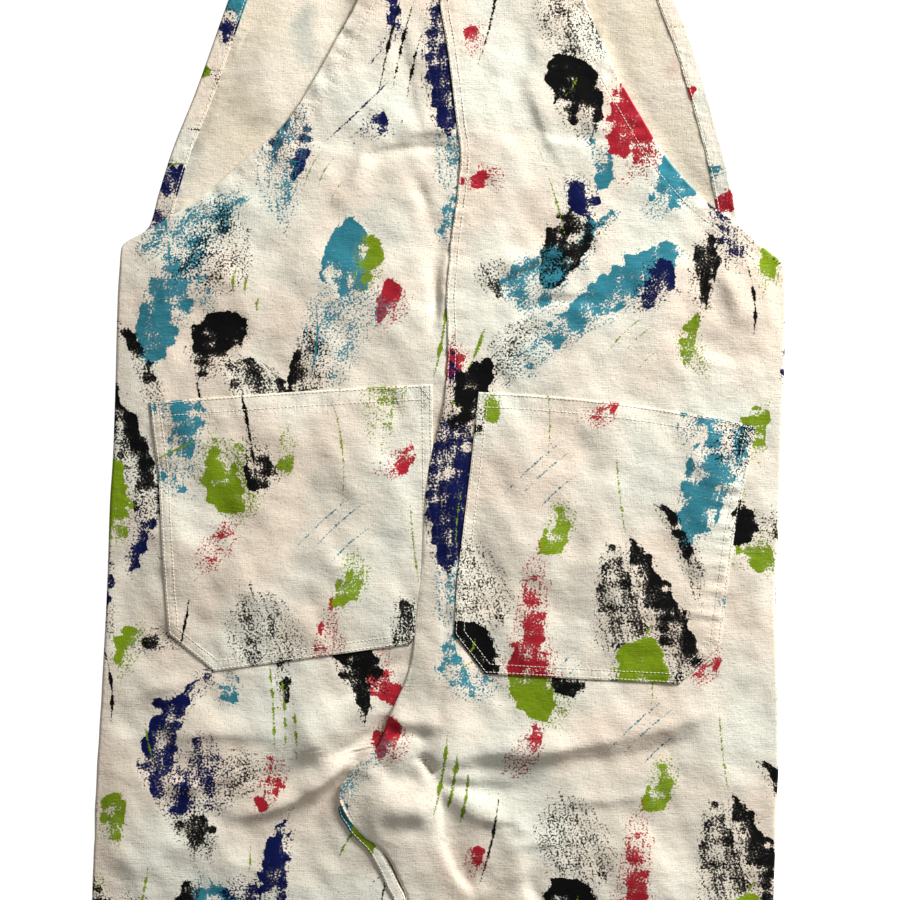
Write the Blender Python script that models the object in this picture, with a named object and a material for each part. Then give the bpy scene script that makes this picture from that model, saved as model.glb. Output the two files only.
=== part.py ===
"""Bib overalls in canvas, lying flat, face down and back up. Metres, +Z up.

The pattern is laid out in millimetres: x runs across the garment, y up it from the crotch towards the
straps, and z up from the surface it lies on. Left and right are the wearer's. At the end the whole is
moved so that the origin is the bottom centre of its bounding box.
"""

import math

import bmesh
import bpy
import numpy as np

MM = 0.001
CLOTH = 1.2  # wall of one layer of canvas
GAP = 0.3  # between pieces that touch
LAYER = CLOTH + GAP

LEG_HEM_Y = -700.0
WAIST_Y = 300.0  # seam of bib and front legs
BIB_TOP_Y = 682.0
BACK_TOP_Y = 653.0
CROWN = 2.2  # how far the back rises over the front, inside its edges
CROWN_RAMP = 45.0  # width over which it does so

HEM_WIDTH = 14.0  # turned hems of the bib
FELL_WIDTH = 7.0  # lap of the centre back seam

STRAP_WIDTH = 38.0
STRAP_LENGTH = 508.0
STRAP_END_Y = 627.0  # buttoned end, under the bib
SHOULDER_Y = 868.0  # where a strap folds over
SHOULDER_BEND = 2.2  # radius of that fold, to the middle of the cloth
STRAPS = {  # x of the buttoned run, and lean in degrees of the run to the back
    "left": {"x": -106.0, "lean": 21.4},
    "right": {"x": 120.0, "lean": -21.0},
}

BUTTON_DIAMETER = 18.0
BUTTON_HEIGHT = 2.4
BUTTON_RIM = 0.5
BUTTON_Y = 652.0
BUTTON_HOLE = 1.8
BUTTON_HOLE_CIRCLE = 5.0  # diameter of the circle of its four holes
BUTTON_LIFT = BUTTON_HEIGHT + GAP


def named(columns, rows):
    """A table as one array for each named column."""
    return dict(zip(columns.split(), np.array(rows, float).T))


BACK = named(
    "y left_side left_inner right_inner right_side",
    (
        (LEG_HEM_Y, -298, -60, 34, 272),
        (-400, -287, -48, 12, 264),
        (-220, -279, -36, -18, 258),
        (-121, -275, -30, -29, 256),
        (-90, -274, -45, -44, 257),
        (-66, -273, -67, -66, 258),
        (-53, -273, -66, -77, 258),
        (-38, -272, -58, -81, 259),
        (-16, -271, -38, -70, 260),
        (0, -270, -12, -52, 260),
        (33, -268, -2, -39, 260),
        (53, -267, -2, -30, 259),
        (108, -264, -2, -22, 257),
        (191, -261, -2, -16, 261),
        (221, -259, -2, -12, 262),
        (275, -257, 4, 0, 264),
        (317, -256, 9, 2, 265),
        (350, -255, 8, 1, 266),
        (373, -253.5, 10, 3, 264),
        (388, -252, 11, 4, 248),
        (404, -227, 13, 6, 230),
        (425, -193, 16, 9, 202),
        (461, -151, 19, 12, 170),
        (484, -125, 16, 9, 156),
        (526, -98, 11, 4, 132),
        (548, -86, 8, 1, 122),
        (581, -68, 3, -4, 108),
        (615, -56, 7, 0, 88),
        (BACK_TOP_Y, -46, 13, 6, 68),
    ),
)

FRONT = named(
    "y left_side left_inner right_inner right_side",
    (
        (LEG_HEM_Y, -298, -60, 34, 272),
        (-400, -287, -48, 12, 264),
        (-220, -279, -38, -18, 258),
        (-121, -275, -31, -29, 256),
        (0, -270, -15.3, -15, 260),
        (150, -262, -6.3, -6, 259),
        (WAIST_Y, -256.5, 1.7, 2, 265),
    ),
)

BIB = named(
    "y left right",
    (
        (WAIST_Y + GAP, -256.5, 265),
        (345, -255, 266),
        (373, -253, 262),
        (388, -250, 245),
        (404, -230, 229),
        (428, -223, 224),
        (463, -212, 216.5),
        (508, -194, 204),
        (550, -179, 191),
        (581, -168, 179),
        (620, -153, 164),
        (BIB_TOP_Y, -132, 143),
    ),
)

# Fold of seat surplus along the inner edge of the right back: how far it rises above one layer.
SEAT_FOLD = named(
    "y rise",
    (
        (-104, 0),
        (-66, 2),
        (-38, 5.5),
        (0, 5.5),
        (53, 4),
        (108, 3),
        (191, 3),
        (244, 2),
        (317, 0),
    ),
)

# Crease lines, from (x0, y0) to (x1, y1). A negative height is a trough.
FOLDS = {
    "left": named(
        "x0 y0 x1 y1 height width",
        (
            (-82, 36, -130, 24, 3.0, 14),
            (-100, -2, -156, -6, -2.0, 9),
            (-112, -14, -170, -34, 2.6, 13),
            (-118, -60, -150, -84, -2.0, 10),
            (-96, -150, -150, -330, 2.4, 22),
            (-200, -420, -215, -600, 2.0, 24),
        ),
    ),
    "right": named(
        "x0 y0 x1 y1 height width",
        (
            (25, -2, 99, -1, 3.6, 11),
            (99, -1, 209, 34, 3.6, 12),
            (20, -24, 84, -34, -2.0, 9),
            (4, -44, 25, -121, -2.0, 9),
            (99, 385, 44, 340, -2.0, 12),
            (60, -170, 110, -360, 2.4, 22),
            (150, -430, 190, -610, 2.0, 24),
        ),
    ),
}

POCKETS = {  # outlines from the top inner corner, anticlockwise from above
    "left": ((-10, 281), (-101, 276), (-230, 267), (-223, 212), (-218, 122), (-215, 87),
             (-179, 58), (-101, 69), (-27, 79), (-8, 108)),
    "right": ((242, 248), (187, 260), (117, 269), (26, 275), (20, 219), (9, 127), (7, 87),
              (31, 56), (106, 52), (182, 48), (214, 78), (225, 164)),
}  # fmt: skip


def smooth(value):
    """0 below 0 and 1 above 1, with a soft run between."""
    value = np.clip(value, 0, 1)
    return value * value * (3 - 2 * value)


def at(table, name, y):
    return np.interp(y, table["y"], table[name])


def fold_height(x, y, folds):
    """Sum of soft ridges and troughs along the crease lines."""
    total = np.zeros_like(x)
    for x0, y0, x1, y1, height, width in zip(*folds.values()):
        run_x, run_y = x1 - x0, y1 - y0
        share = ((x - x0) * run_x + (y - y0) * run_y) / (run_x**2 + run_y**2)
        share = np.clip(share, 0, 1)
        away = np.hypot(x - x0 - share * run_x, y - y0 - share * run_y)
        total += height * np.exp(-((away / width) ** 2))
    return total


def strap_under(y):
    """Underside of the strap's run to the back, where it passes over the bib's hem."""
    over_hem = 1.6 * smooth((y - 628) / 28) * (1 - smooth((y - 690) / 25))
    return LAYER + over_hem


def back_lift(y):
    """How far the top of the back is held up by the straps sewn under it."""
    raised = strap_under(y) + LAYER + GAP - LAYER
    return np.where(y < 620, smooth((y - 596) / 24) * (LAYER + GAP), raised)


def left_under(x, y):
    """Underside of the left back. It is flat where the fold and the seam lie on it."""
    outer = smooth((x - at(BACK, "left_side", y)) / CROWN_RAMP)
    inner = smooth((at(BACK, "left_inner", y) - 56 - x) / CROWN_RAMP)
    loose = CROWN + fold_height(x, y, FOLDS["left"])
    return LAYER + back_lift(y) + np.maximum(outer * inner * loose, 0)


def left_over(x, y):
    return left_under(x, y) + CLOTH


def right_under(x, y):
    """Underside of the right back. Its inner edge lies over the left back and its pocket."""
    start = at(BACK, "left_inner", y)
    outer = smooth((at(BACK, "right_side", y) - x) / CROWN_RAMP)
    inner = smooth((x - start - 24) / CROWN_RAMP)
    loose = CROWN + fold_height(x, y, FOLDS["right"])
    over_pocket = LAYER * smooth((y - 36) / 24) * (1 - smooth((y - 286) / 20))
    lapped = (LAYER + over_pocket) * smooth((y + 114) / 22) * (1 - smooth((x - start - 16) / 14))
    return LAYER + back_lift(y) + lapped + np.maximum(outer * inner * loose, 0)


def right_over(x, y):
    """Outer side of the right back. The doubled cloth of the seat fold stands above one layer."""
    edge = at(BACK, "right_inner", y)
    width = np.maximum(at(BACK, "left_inner", y) - edge, FELL_WIDTH) + 8
    share = np.clip((x - edge) / width, 0, 1)
    roll = smooth((share + 0.12) / 0.4) * (1 - smooth((share - 0.45) / 0.55))
    return right_under(x, y) + CLOTH + at(SEAT_FOLD, "rise", y) * roll


def button_bump(x, y, flat, ramp):
    """1 over each button and 0 beyond the ramp."""
    bump = np.zeros_like(x)
    for strap in STRAPS.values():
        away = np.hypot(x - strap["x"], y - BUTTON_Y)
        bump = np.maximum(bump, 1 - smooth((away - flat) / ramp))
    return bump


def bib_under(x, y):
    """Underside of the bib, which lies over the buttoned ends of the straps."""
    over_strap = np.zeros_like(x)
    for strap in STRAPS.values():
        beside = 1 - smooth((np.abs(x - strap["x"]) - STRAP_WIDTH / 2 - 2) / 11)
        over_strap = np.maximum(over_strap, beside * smooth((y - STRAP_END_Y + 16) / 13))
    return LAYER * over_strap + (BUTTON_LIFT + LAYER / 3) * button_bump(x, y, 19, 36)


def bib_over(x, y):
    return bib_under(x, y) + CLOTH


def floor_level(x, y):
    return np.zeros_like(x)


def one_layer(x, y):
    return np.full_like(x, CLOTH)


def make_material(name, colour, roughness):
    material = bpy.data.materials.new(name)
    material.use_nodes = True
    shader = material.node_tree.nodes["Principled BSDF"]
    shader.inputs["Base Color"].default_value = (*colour, 1)
    shader.inputs["Roughness"].default_value = roughness
    shader.inputs["Metallic"].default_value = 0.0
    return material


def add_object(name, mesh, material):
    mesh.materials.append(material)
    thing = bpy.data.objects.new(name, mesh)
    bpy.context.collection.objects.link(thing)
    return thing


def wall(name, rows, shares, left, right, under, over, material):
    """Cloth between two edges: a grid of rows and columns, given an underside and an outer side.

    shares are the columns' places across the width. left and right give the edges at y.
    """
    bm = bmesh.new()
    bmesh.ops.create_grid(bm, x_segments=len(shares) - 1, y_segments=len(rows) - 1, size=1)
    flat = np.array([vertex.co for vertex in bm.verts])
    column = np.rint((flat[:, 0] + 1) / 2 * (len(shares) - 1)).astype(int)
    row = np.rint((flat[:, 1] + 1) / 2 * (len(rows) - 1)).astype(int)
    y = np.array(rows, float)[row]
    x = left(y) + (right(y) - left(y)) * np.array(shares, float)[column]
    bmesh.ops.triangulate(bm, faces=bm.faces[:], quad_method="FIXED")
    for vertex, place in zip(bm.verts, zip(x, y, under(x, y))):
        vertex.co = [value * MM for value in place]
    lower = list(bm.verts)
    raised = bmesh.ops.extrude_face_region(bm, geom=bm.faces[:])
    upper = [item for item in raised["geom"] if isinstance(item, bmesh.types.BMVert)]
    places = np.array([vertex.co for vertex in upper]) / MM
    for vertex, z in zip(upper, over(places[:, 0], places[:, 1])):
        vertex.co.z = z * MM
    assert len(lower) == len(upper)
    bmesh.ops.recalc_face_normals(bm, faces=bm.faces[:])
    mesh = bpy.data.meshes.new(name)
    bm.to_mesh(mesh)
    bm.free()
    return add_object(name, mesh, material)


def lay_on(name, slab, outline, material):
    """A piece with this outline, cut from a slab of cloth that follows the panel below it."""
    bm = bmesh.new()
    corners = [bm.verts.new((x * MM, y * MM, -10 * MM)) for x, y in outline]
    face = bm.faces.new(corners)
    raised = bmesh.ops.extrude_face_region(bm, geom=[face])
    top = [item for item in raised["geom"] if isinstance(item, bmesh.types.BMVert)]
    bmesh.ops.translate(bm, verts=top, vec=(0, 0, 60 * MM))
    bmesh.ops.recalc_face_normals(bm, faces=bm.faces[:])
    mesh = bpy.data.meshes.new(name + "_outline")
    bm.to_mesh(mesh)
    bm.free()
    cutter = bpy.data.objects.new(name + "_outline", mesh)
    bpy.context.collection.objects.link(cutter)
    cutter.hide_render = True
    cutter.display_type = "WIRE"
    piece = add_object(name, slab.copy(), material)
    cut = piece.modifiers.new("outline", "BOOLEAN")
    cut.operation = "INTERSECT"
    cut.object = cutter
    cut.solver = "EXACT"
    return piece


def slab_on(rows, shares, left, right, over, material):
    """The mesh of one more layer on a panel, made from the panel's own points."""
    above = wall("layer", rows, shares, left, right, lambda x, y: over(x, y) + GAP,
                 lambda x, y: over(x, y) + LAYER, material)  # fmt: skip
    mesh = above.data
    bpy.data.objects.remove(above)
    mesh.materials.clear()
    return mesh


def rows_between(low, high, *stretches):
    """Rows for a panel: each stretch is (from, to, spacing), and all are kept between the limits."""
    rows = {low, high}
    for start, end, spacing in stretches:
        count = max(1, round((end - start) / spacing))
        rows.update(np.linspace(start, end, count + 1).round(3))
    return [row for row in sorted(rows) if low <= row <= high]


def make_backs(canvas):
    """The two back halves, and on each its pocket."""
    rows = rows_between(
        LEG_HEM_Y, BACK_TOP_Y, (LEG_HEM_Y, -220, 60), (-220, -130, 30), (-130, 60, 13),
        (60, 350, 29), (373, 373, 1), (388, 388, 1), (404, 404, 1), (425, 581, 26), (596, 653, 14),
    )  # fmt: skip
    left_shares = (0, 0.06, 0.14, 0.24, 0.36, 0.48, 0.6, 0.7, 0.79, 0.87, 0.94, 1)
    right_shares = [1 - share for share in reversed(left_shares)]
    right_shares[1:2] = [0.012, 0.04, 0.085]

    def left_side(y):
        return at(BACK, "left_side", y)

    def left_inner(y):
        return at(BACK, "left_inner", y)

    def right_inner(y):
        return at(BACK, "right_inner", y)

    def right_side(y):
        return at(BACK, "right_side", y)

    halves = (
        ("left", left_shares, left_side, left_inner, left_under, left_over),
        ("right", right_shares, right_inner, right_side, right_under, right_over),
    )
    for side, shares, start, end, under, over in halves:
        wall("back_" + side, rows, shares, start, end, under, over, canvas)
        slab = slab_on([y for y in rows if 20 < y < 320], shares, start, end, over, canvas)
        lay_on("pocket_" + side, slab, POCKETS[side], canvas)


def make_fronts(canvas):
    rows = FRONT["y"]
    shares = (0, 0.25, 0.5, 0.75, 1)
    for side, start, end in (("left", "left_side", "left_inner"), ("right", "right_inner", "right_side")):
        wall("front_" + side, rows, shares, lambda y, start=start: at(FRONT, start, y),
             lambda y, end=end: at(FRONT, end, y), floor_level, one_layer, canvas)  # fmt: skip


def make_bib(canvas):
    """The bib, with the hems that are turned onto its inner face."""

    def left(y):
        return at(BIB, "left", y)

    def right(y):
        return at(BIB, "right", y)

    rows = rows_between(
        BIB["y"][0], BIB_TOP_Y, (WAIST_Y + GAP, 388, 44), (388, 404, 16), (404, 588, 23),
        (588, BIB_TOP_Y, 11.75),
    )  # fmt: skip
    shares = np.linspace(0, 1, 23)
    wall("bib", rows, shares, left, right, bib_under, bib_over, canvas)
    slab = slab_on([y for y in rows if y > 390], shares, left, right, bib_over, canvas)
    heights = [y for y in BIB["y"] if y >= 428]
    side_hems = (("left", left, 1, 405, 416), ("right", right, -1, 406, 424))
    for side, edge, inward, outer_y, inner_y in side_hems:
        outer = [(edge(y) - inward * 8, y + (6 if y == BIB_TOP_Y else 0)) for y in heights]
        inner = [(edge(y) + inward * HEM_WIDTH, y + (6 if y == BIB_TOP_Y else 0)) for y in heights]
        start = edge(outer_y) - inward * 8, outer_y - 3
        end = edge(inner_y) + inward * HEM_WIDTH, inner_y
        lay_on("bib_hem_" + side, slab, [start, *outer, *reversed(inner), end], canvas)
    low, high = BIB_TOP_Y - HEM_WIDTH, BIB_TOP_Y + 6
    inset = HEM_WIDTH + GAP + 0.2
    top = ((left(low) + inset, low), (right(low) - inset, low),
           (right(high) - inset, high), (left(high) + inset, high))  # fmt: skip
    lay_on("bib_hem_top", slab, top, canvas)


def strap_middle(across, along, strap):
    """A point in the middle of the strap's cloth, and the outward side there.

    The strap starts as a straight band up the surface. It is rolled over the shoulder line, which
    leans so that the band comes back at the strap's own angle.
    """
    tilt = math.radians(-strap["lean"] / 2)
    reach = SHOULDER_Y - STRAP_END_Y
    shear = math.tan(tilt) * smooth(1 - (np.abs(along - reach) - 12) / 60)
    x = strap["x"] + across
    y = STRAP_END_Y + along - shear * across
    normal = np.array((math.sin(tilt), math.cos(tilt)))
    beyond = (x - strap["x"]) * normal[0] + (y - SHOULDER_Y) * normal[1]
    bend = math.pi * SHOULDER_BEND
    angle = np.clip(beyond / SHOULDER_BEND, 0, math.pi)
    folded = SHOULDER_BEND * np.sin(angle) - np.maximum(beyond - bend, 0)
    move = np.where(beyond > 0, folded - beyond, 0)
    x = x + move * normal[0]
    y = y + move * normal[1]
    lower = CLOTH / 2 + BUTTON_LIFT * button_bump(x, y, 16, 24)
    upper = CLOTH / 2 + strap_under(y)
    past = np.maximum(beyond - bend, 0)
    full = CLOTH / 2 + 2 * SHOULDER_BEND
    upper = upper + (full - upper) * (1 - smooth(past / 45))
    turning = CLOTH / 2 + SHOULDER_BEND * (1 - np.cos(angle))
    z = np.where(beyond <= 0, lower, np.where(beyond >= bend, upper, turning))
    return x, y, z


def make_strap(side, canvas):
    """A band with one fold over the shoulder, thickened by half a layer to each side."""
    strap = STRAPS[side]
    reach = SHOULDER_Y - STRAP_END_Y
    bend = math.pi * SHOULDER_BEND
    along = [*np.linspace(0, 72, 8), *np.linspace(96, reach - 14, 6), *np.linspace(0, bend, 6) + reach,
             *np.linspace(reach + bend + 12, STRAP_LENGTH - 84, 7),
             *np.linspace(STRAP_LENGTH - 68, STRAP_LENGTH, 7)]  # fmt: skip
    across = np.linspace(-0.5, 0.5, 5) * STRAP_WIDTH
    bm = bmesh.new()
    bmesh.ops.create_grid(bm, x_segments=len(across) - 1, y_segments=len(along) - 1, size=1)
    flat = np.array([vertex.co for vertex in bm.verts])
    column = np.rint((flat[:, 0] + 1) / 2 * (len(across) - 1)).astype(int)
    row = np.rint((flat[:, 1] + 1) / 2 * (len(along) - 1)).astype(int)
    places = np.stack(strap_middle(across[column], np.array(along)[row], strap), axis=1)
    for vertex, place in zip(bm.verts, places):
        vertex.co = place * MM
    mesh = bpy.data.meshes.new("strap_" + side)
    bm.to_mesh(mesh)
    bm.free()
    piece = add_object("strap_" + side, mesh, canvas)
    thicken = piece.modifiers.new("cloth", "SOLIDIFY")
    thicken.thickness = CLOTH * MM
    thicken.offset = 0
    thicken.use_even_offset = True


def make_button(side, plastic):
    """A sewn-on button with four holes, face down."""
    bm = bmesh.new()
    bmesh.ops.create_cone(bm, cap_ends=True, segments=32, radius1=BUTTON_DIAMETER / 2 * MM,
                          radius2=BUTTON_DIAMETER / 2 * MM, depth=BUTTON_HEIGHT * MM)  # fmt: skip
    rims = [edge for edge in bm.edges if len({round(vertex.co.z, 6) for vertex in edge.verts}) == 1]
    bmesh.ops.bevel(bm, geom=rims, offset=BUTTON_RIM * MM, segments=1, affect="EDGES")
    mesh = bpy.data.meshes.new("button_" + side)
    bm.to_mesh(mesh)
    bm.free()
    button = add_object("button_" + side, mesh, plastic)
    button.location = (STRAPS[side]["x"] * MM, BUTTON_Y * MM, BUTTON_HEIGHT / 2 * MM)
    for number in range(4):
        angle = math.radians(45 + 90 * number)
        bm = bmesh.new()
        bmesh.ops.create_cone(bm, cap_ends=True, segments=10, radius1=BUTTON_HOLE / 2 * MM,
                              radius2=BUTTON_HOLE / 2 * MM, depth=3 * BUTTON_HEIGHT * MM)  # fmt: skip
        mesh = bpy.data.meshes.new(f"button_{side}_hole_{number}")
        bm.to_mesh(mesh)
        bm.free()
        drill = bpy.data.objects.new(mesh.name, mesh)
        bpy.context.collection.objects.link(drill)
        drill.parent = button
        radius = BUTTON_HOLE_CIRCLE / 2 * MM
        drill.location = (radius * math.cos(angle), radius * math.sin(angle), 0)
        drill.hide_render = True
        drill.display_type = "WIRE"
        hole = button.modifiers.new(drill.name, "BOOLEAN")
        hole.operation = "DIFFERENCE"
        hole.object = drill
        hole.solver = "EXACT"


def centre_on_origin():
    """One parent for all, placed so that the bounding box stands with its bottom centre at 0."""
    bpy.context.view_layer.update()
    ready = bpy.context.evaluated_depsgraph_get()
    shown = [thing for thing in bpy.data.objects if thing.type == "MESH" and not thing.hide_render]
    corners = []
    for thing in shown:
        solid = thing.evaluated_get(ready)
        corners += [solid.matrix_world @ vertex.co for vertex in solid.data.vertices]
    corners = np.array(corners)
    middle = (corners.min(axis=0) + corners.max(axis=0)) / 2
    garment = bpy.data.objects.new("overalls", None)
    bpy.context.collection.objects.link(garment)
    garment.location = (-middle[0], -middle[1], 0)
    for thing in bpy.data.objects:
        if thing.type == "MESH" and thing.parent is None:
            thing.parent = garment


def main():
    for thing in list(bpy.data.objects):
        bpy.data.objects.remove(thing, do_unlink=True)
    canvas = make_material("ecru_canvas", (0.88, 0.83, 0.72), 0.9)
    plastic = make_material("button_resin", (0.75, 0.68, 0.55), 0.35)
    make_fronts(canvas)
    make_bib(canvas)
    make_backs(canvas)
    for side in STRAPS:
        make_strap(side, canvas)
        make_button(side, plastic)
    centre_on_origin()


main()
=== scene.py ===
import functools
import itertools
import math

import bmesh
import bpy
import numpy as np
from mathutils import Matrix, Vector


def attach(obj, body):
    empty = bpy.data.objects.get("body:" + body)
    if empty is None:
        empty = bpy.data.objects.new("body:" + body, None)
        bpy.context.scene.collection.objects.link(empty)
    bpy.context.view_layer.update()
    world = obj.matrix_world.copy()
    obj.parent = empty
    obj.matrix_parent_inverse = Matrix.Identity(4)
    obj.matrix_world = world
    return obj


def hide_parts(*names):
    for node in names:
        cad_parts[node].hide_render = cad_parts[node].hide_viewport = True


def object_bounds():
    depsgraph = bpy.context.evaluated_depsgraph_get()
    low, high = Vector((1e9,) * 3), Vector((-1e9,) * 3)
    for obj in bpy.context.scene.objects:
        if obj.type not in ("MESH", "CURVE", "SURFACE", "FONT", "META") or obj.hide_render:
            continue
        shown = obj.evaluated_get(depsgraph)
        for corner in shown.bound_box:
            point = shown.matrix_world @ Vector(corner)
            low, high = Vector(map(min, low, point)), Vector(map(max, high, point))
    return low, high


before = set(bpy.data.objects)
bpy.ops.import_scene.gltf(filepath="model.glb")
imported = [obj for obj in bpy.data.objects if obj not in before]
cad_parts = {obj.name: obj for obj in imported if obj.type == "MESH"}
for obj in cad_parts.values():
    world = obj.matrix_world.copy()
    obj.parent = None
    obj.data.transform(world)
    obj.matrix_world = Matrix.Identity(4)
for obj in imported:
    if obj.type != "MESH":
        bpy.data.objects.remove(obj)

mm = 0.001
cadBox = [list(corner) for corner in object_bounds()]
# Pattern millimetres: x across the garment, y up from the crotch to the straps, z up from the floor.
patternCorner = (-298.0, -700.0)  # lowest corner of the legs, where the frame's box has its lowest corner
shift = np.array((cadBox[0][0] / mm - patternCorner[0], cadBox[0][1] / mm - patternCorner[1], 0.0))


def table(columns, *rows):  # one array for each named column
    return dict(zip(columns.split(), np.array(rows, float).T))


def soft(value):  # 0 to 1 with a soft start and end
    value = np.clip(value, 0, 1)
    return value * value * (3 - 2 * value)


def mix(first, second, share):
    return first + (second - first) * share


def bell(distance, width):  # 1 in the middle, next to nothing two widths away
    return np.exp(-((distance / width) ** 2))


def unit(vectors):
    return vectors / np.linalg.norm(vectors, axis=-1, keepdims=True)


def roundEdge(distance, radius):  # 0 at an edge and 1 from radius on, with an upright start
    return np.sqrt(1 - (1 - np.clip(distance / radius, 0, 1)) ** 2)


def curveAt(rows, name, y):  # smooth curve through a table's points, with no overshoot
    places, values = rows["y"], rows[name]
    step = np.diff(places)
    slope = np.diff(values) / step
    before, after = slope[:-1], slope[1:]
    same = before * after > 0
    middle = np.where(same, 2 * before * after / np.where(same, before + after, 1), 0)
    tangent = np.concatenate((slope[:1], middle, slope[-1:]))
    y = np.clip(y, places[0], places[-1])
    index = np.clip(np.searchsorted(places, y) - 1, 0, len(step) - 1)
    width = step[index]
    t = (y - places[index]) / width
    return (
        (1 + 2 * t) * (1 - t) ** 2 * values[index]
        + t * (1 - t) ** 2 * width * tangent[index]
        + t * t * (3 - 2 * t) * values[index + 1]
        + t * t * (t - 1) * width * tangent[index + 1]
    )


def slantAt(rows, name, y):  # how much wider a run across is than one square to the edge
    lean = (curveAt(rows, name, y + 2) - curveAt(rows, name, y - 2)) / 4
    return np.minimum(np.hypot(1, lean), 2.2)


def pastEdge(rows, name, x, y):  # how far a place is right of an edge, square to it
    return (x - curveAt(rows, name, y)) / slantAt(rows, name, y)


def besideEdge(rows, name, y, past):  # the x that far right of an edge
    return curveAt(rows, name, y) + past * slantAt(rows, name, y)


def rumple(x, y, seed, shortest, longest, count=14):  # even random waves, about 1 high
    rng = np.random.default_rng(seed)
    total = np.zeros_like(x)
    for _ in range(count):
        length = shortest * (longest / shortest) ** rng.random()
        angle, phase = rng.random(2) * 2 * math.pi
        run = x * math.cos(angle) + y * math.sin(angle)
        total += np.sin(run * 2 * math.pi / length + phase)
    return total / math.sqrt(count / 2)


def pathDistance(x, y, path):  # distance to a line of points, side (+1 on its left), share along it
    best = np.full(np.shape(x), 1e9)
    side, share = np.ones_like(best), np.zeros_like(best)
    steps = np.hypot(*np.diff(path, axis=0).T)
    reached = 0.0
    for start, end, step in zip(path[:-1], path[1:], steps):
        run = end - start
        part = np.clip(((x - start[0]) * run[0] + (y - start[1]) * run[1]) / (run @ run), 0, 1)
        away = np.hypot(x - start[0] - part * run[0], y - start[1] - part * run[1])
        nearer = away < best
        best = np.where(nearer, away, best)
        turn = run[0] * (y - start[1]) - run[1] * (x - start[0])
        side = np.where(nearer, np.where(turn > 0, 1, -1), side)
        share = np.where(nearer, (reached + part * step) / steps.sum(), share)
        reached += step
    return best, side, share


def creaseHeight(x, y, creases):  # ridges and troughs along bowed lines, each with a width to either side
    total = np.zeros_like(x)
    uneven = 1 + 0.18 * rumple(x, y, 33, 50, 140)
    x, y = x + 1.5 * rumple(x, y, 31, 40, 120), y + 1.5 * rumple(x, y, 32, 40, 120)
    for x0, y0, x1, y1, bow, height, left, right, form in zip(*creases.values()):
        t = np.linspace(0, 1, 11)
        length = math.hypot(x1 - x0, y1 - y0)
        lift = 4 * t * (1 - t) * bow / length
        path = np.stack((mix(x0, x1, t) - (y1 - y0) * lift, mix(y0, y1, t) + (x1 - x0) * lift), 1)
        reach = 3.2 * max(left, right)
        near = (x > path[:, 0].min() - reach) & (x < path[:, 0].max() + reach)
        near &= (y > path[:, 1].min() - reach) & (y < path[:, 1].max() + reach)
        if not near.any():
            continue
        away, side, _ = pathDistance(x[near], y[near], path)
        width = np.where(side > 0, left, right)
        share = ((x[near] - x0) * (x1 - x0) + (y[near] - y0) * (y1 - y0)) / length**2
        taper = soft(share / 0.3) * soft((1 - share) / 0.3)
        crest = 0.2 * width
        past = 1.25 * (np.sqrt(away**2 + crest**2) - crest) / width
        total[near] += height * taper * np.exp(-(past**form))
    return total * uneven


printCloth = {  # brush marks scattered over one repeat of the cloth
    "repeat": (500.0, 640.0),
    "seed": 12,
    "halo": 9.0,  # reach of the loose specks round a mark
    "apart": 3.0,  # least room between two marks of one layer
    "inks": {
        "teal": "#327E8E", "green": "#7A9414", "red": "#AA202E", "navy": "#040E45", "black": "#050505",
    },
    # main ink, second ink and accent of each group of marks
    "groups": (
        "teal black green", "teal black navy", "black black red", "teal green black", "red black teal",
        "navy teal black", "green black green", "black teal red", "navy black red", "navy black green",
        "black green teal", "navy teal green", "navy teal black",
    ),
    # the marks of a group: which ink, lengths, widths, how full, how dry it runs out, how far off
    "marks": (
        (0, 110, 185, 28, 42, 1.0, 0.7, 5),
        (0, 60, 110, 30, 46, 0.66, 0.3, 38),
        (0, 50, 90, 10, 20, 0.9, 0.6, 46),
        (1, 42, 78, 26, 44, 1.5, 0.9, 42),
        (1, 60, 96, 36, 56, 0.46, 0.1, 50),
        (2, 34, 68, 14, 28, 0.98, 0.7, 60),
    ),
    "dabs": (("red", 8), ("navy", 5), ("green", 5), ("black", 5), ("teal", 2)),  # between the groups
    "dabSize": ((22, 55), (12, 28), (0.7, 1.2)),  # lengths, widths, how full
    "flicks": (("green", 20), ("black", 10), ("teal", 4), ("navy", 2)),
    "flickSize": ((16, 84), (1.2, 3.4)),  # lengths, widths
    # mean and spread in degrees of the way they run
    "lean": {"groups": (80, 24), "marks": (0, 12), "dabs": (80, 35), "flicks": (72, 28)},
}


def linear(code):  # sRGB hex to linear colour
    parts = [int(code[i : i + 2], 16) / 255 for i in (1, 3, 5)]
    return [v / 12.92 if v <= 0.04045 else ((v + 0.055) / 1.055) ** 2.4 for v in parts]


def repeatGap(x, y, u, v):  # distance between two places on the repeating print
    width, height = printCloth["repeat"]
    across, up = abs(x - u) % width, abs(y - v) % height
    return math.hypot(min(across, width - across), min(up, height - up))


def freePlace(rng, taken, tries):  # the freest of some places on the repeat
    width, height = printCloth["repeat"]
    places = [(rng.random() * width, rng.random() * height) for _ in range(tries)]
    taken.append(max(places, key=lambda at: min((repeatGap(*at, *one) for one in taken), default=0)))
    return taken[-1]


def newMark(rng, ink, place, length, width, full, dry, turn):
    return {
        "ink": ink, "x": place[0], "y": place[1], "length": length, "width": width,
        "full": full, "dry": dry,
        "turn": turn + 180 * int(rng.integers(2)), "bow": rng.normal(0, 0.13) * length,
        "wedge": rng.uniform(-0.5, 0.5), "fade": rng.uniform(-1, 1), "tint": rng.uniform(-1, 1),
        "seed": int(rng.integers(9999)),
    }


def alongMark(mark):  # five places from end to end
    turn = math.radians(mark["turn"])
    reach = (mark["length"] - mark["width"]) / 2
    steps = [reach * part for part in (-1, -0.5, 0, 0.5, 1)]
    return [(mark["x"] + step * math.cos(turn), mark["y"] + step * math.sin(turn)) for step in steps]


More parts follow.
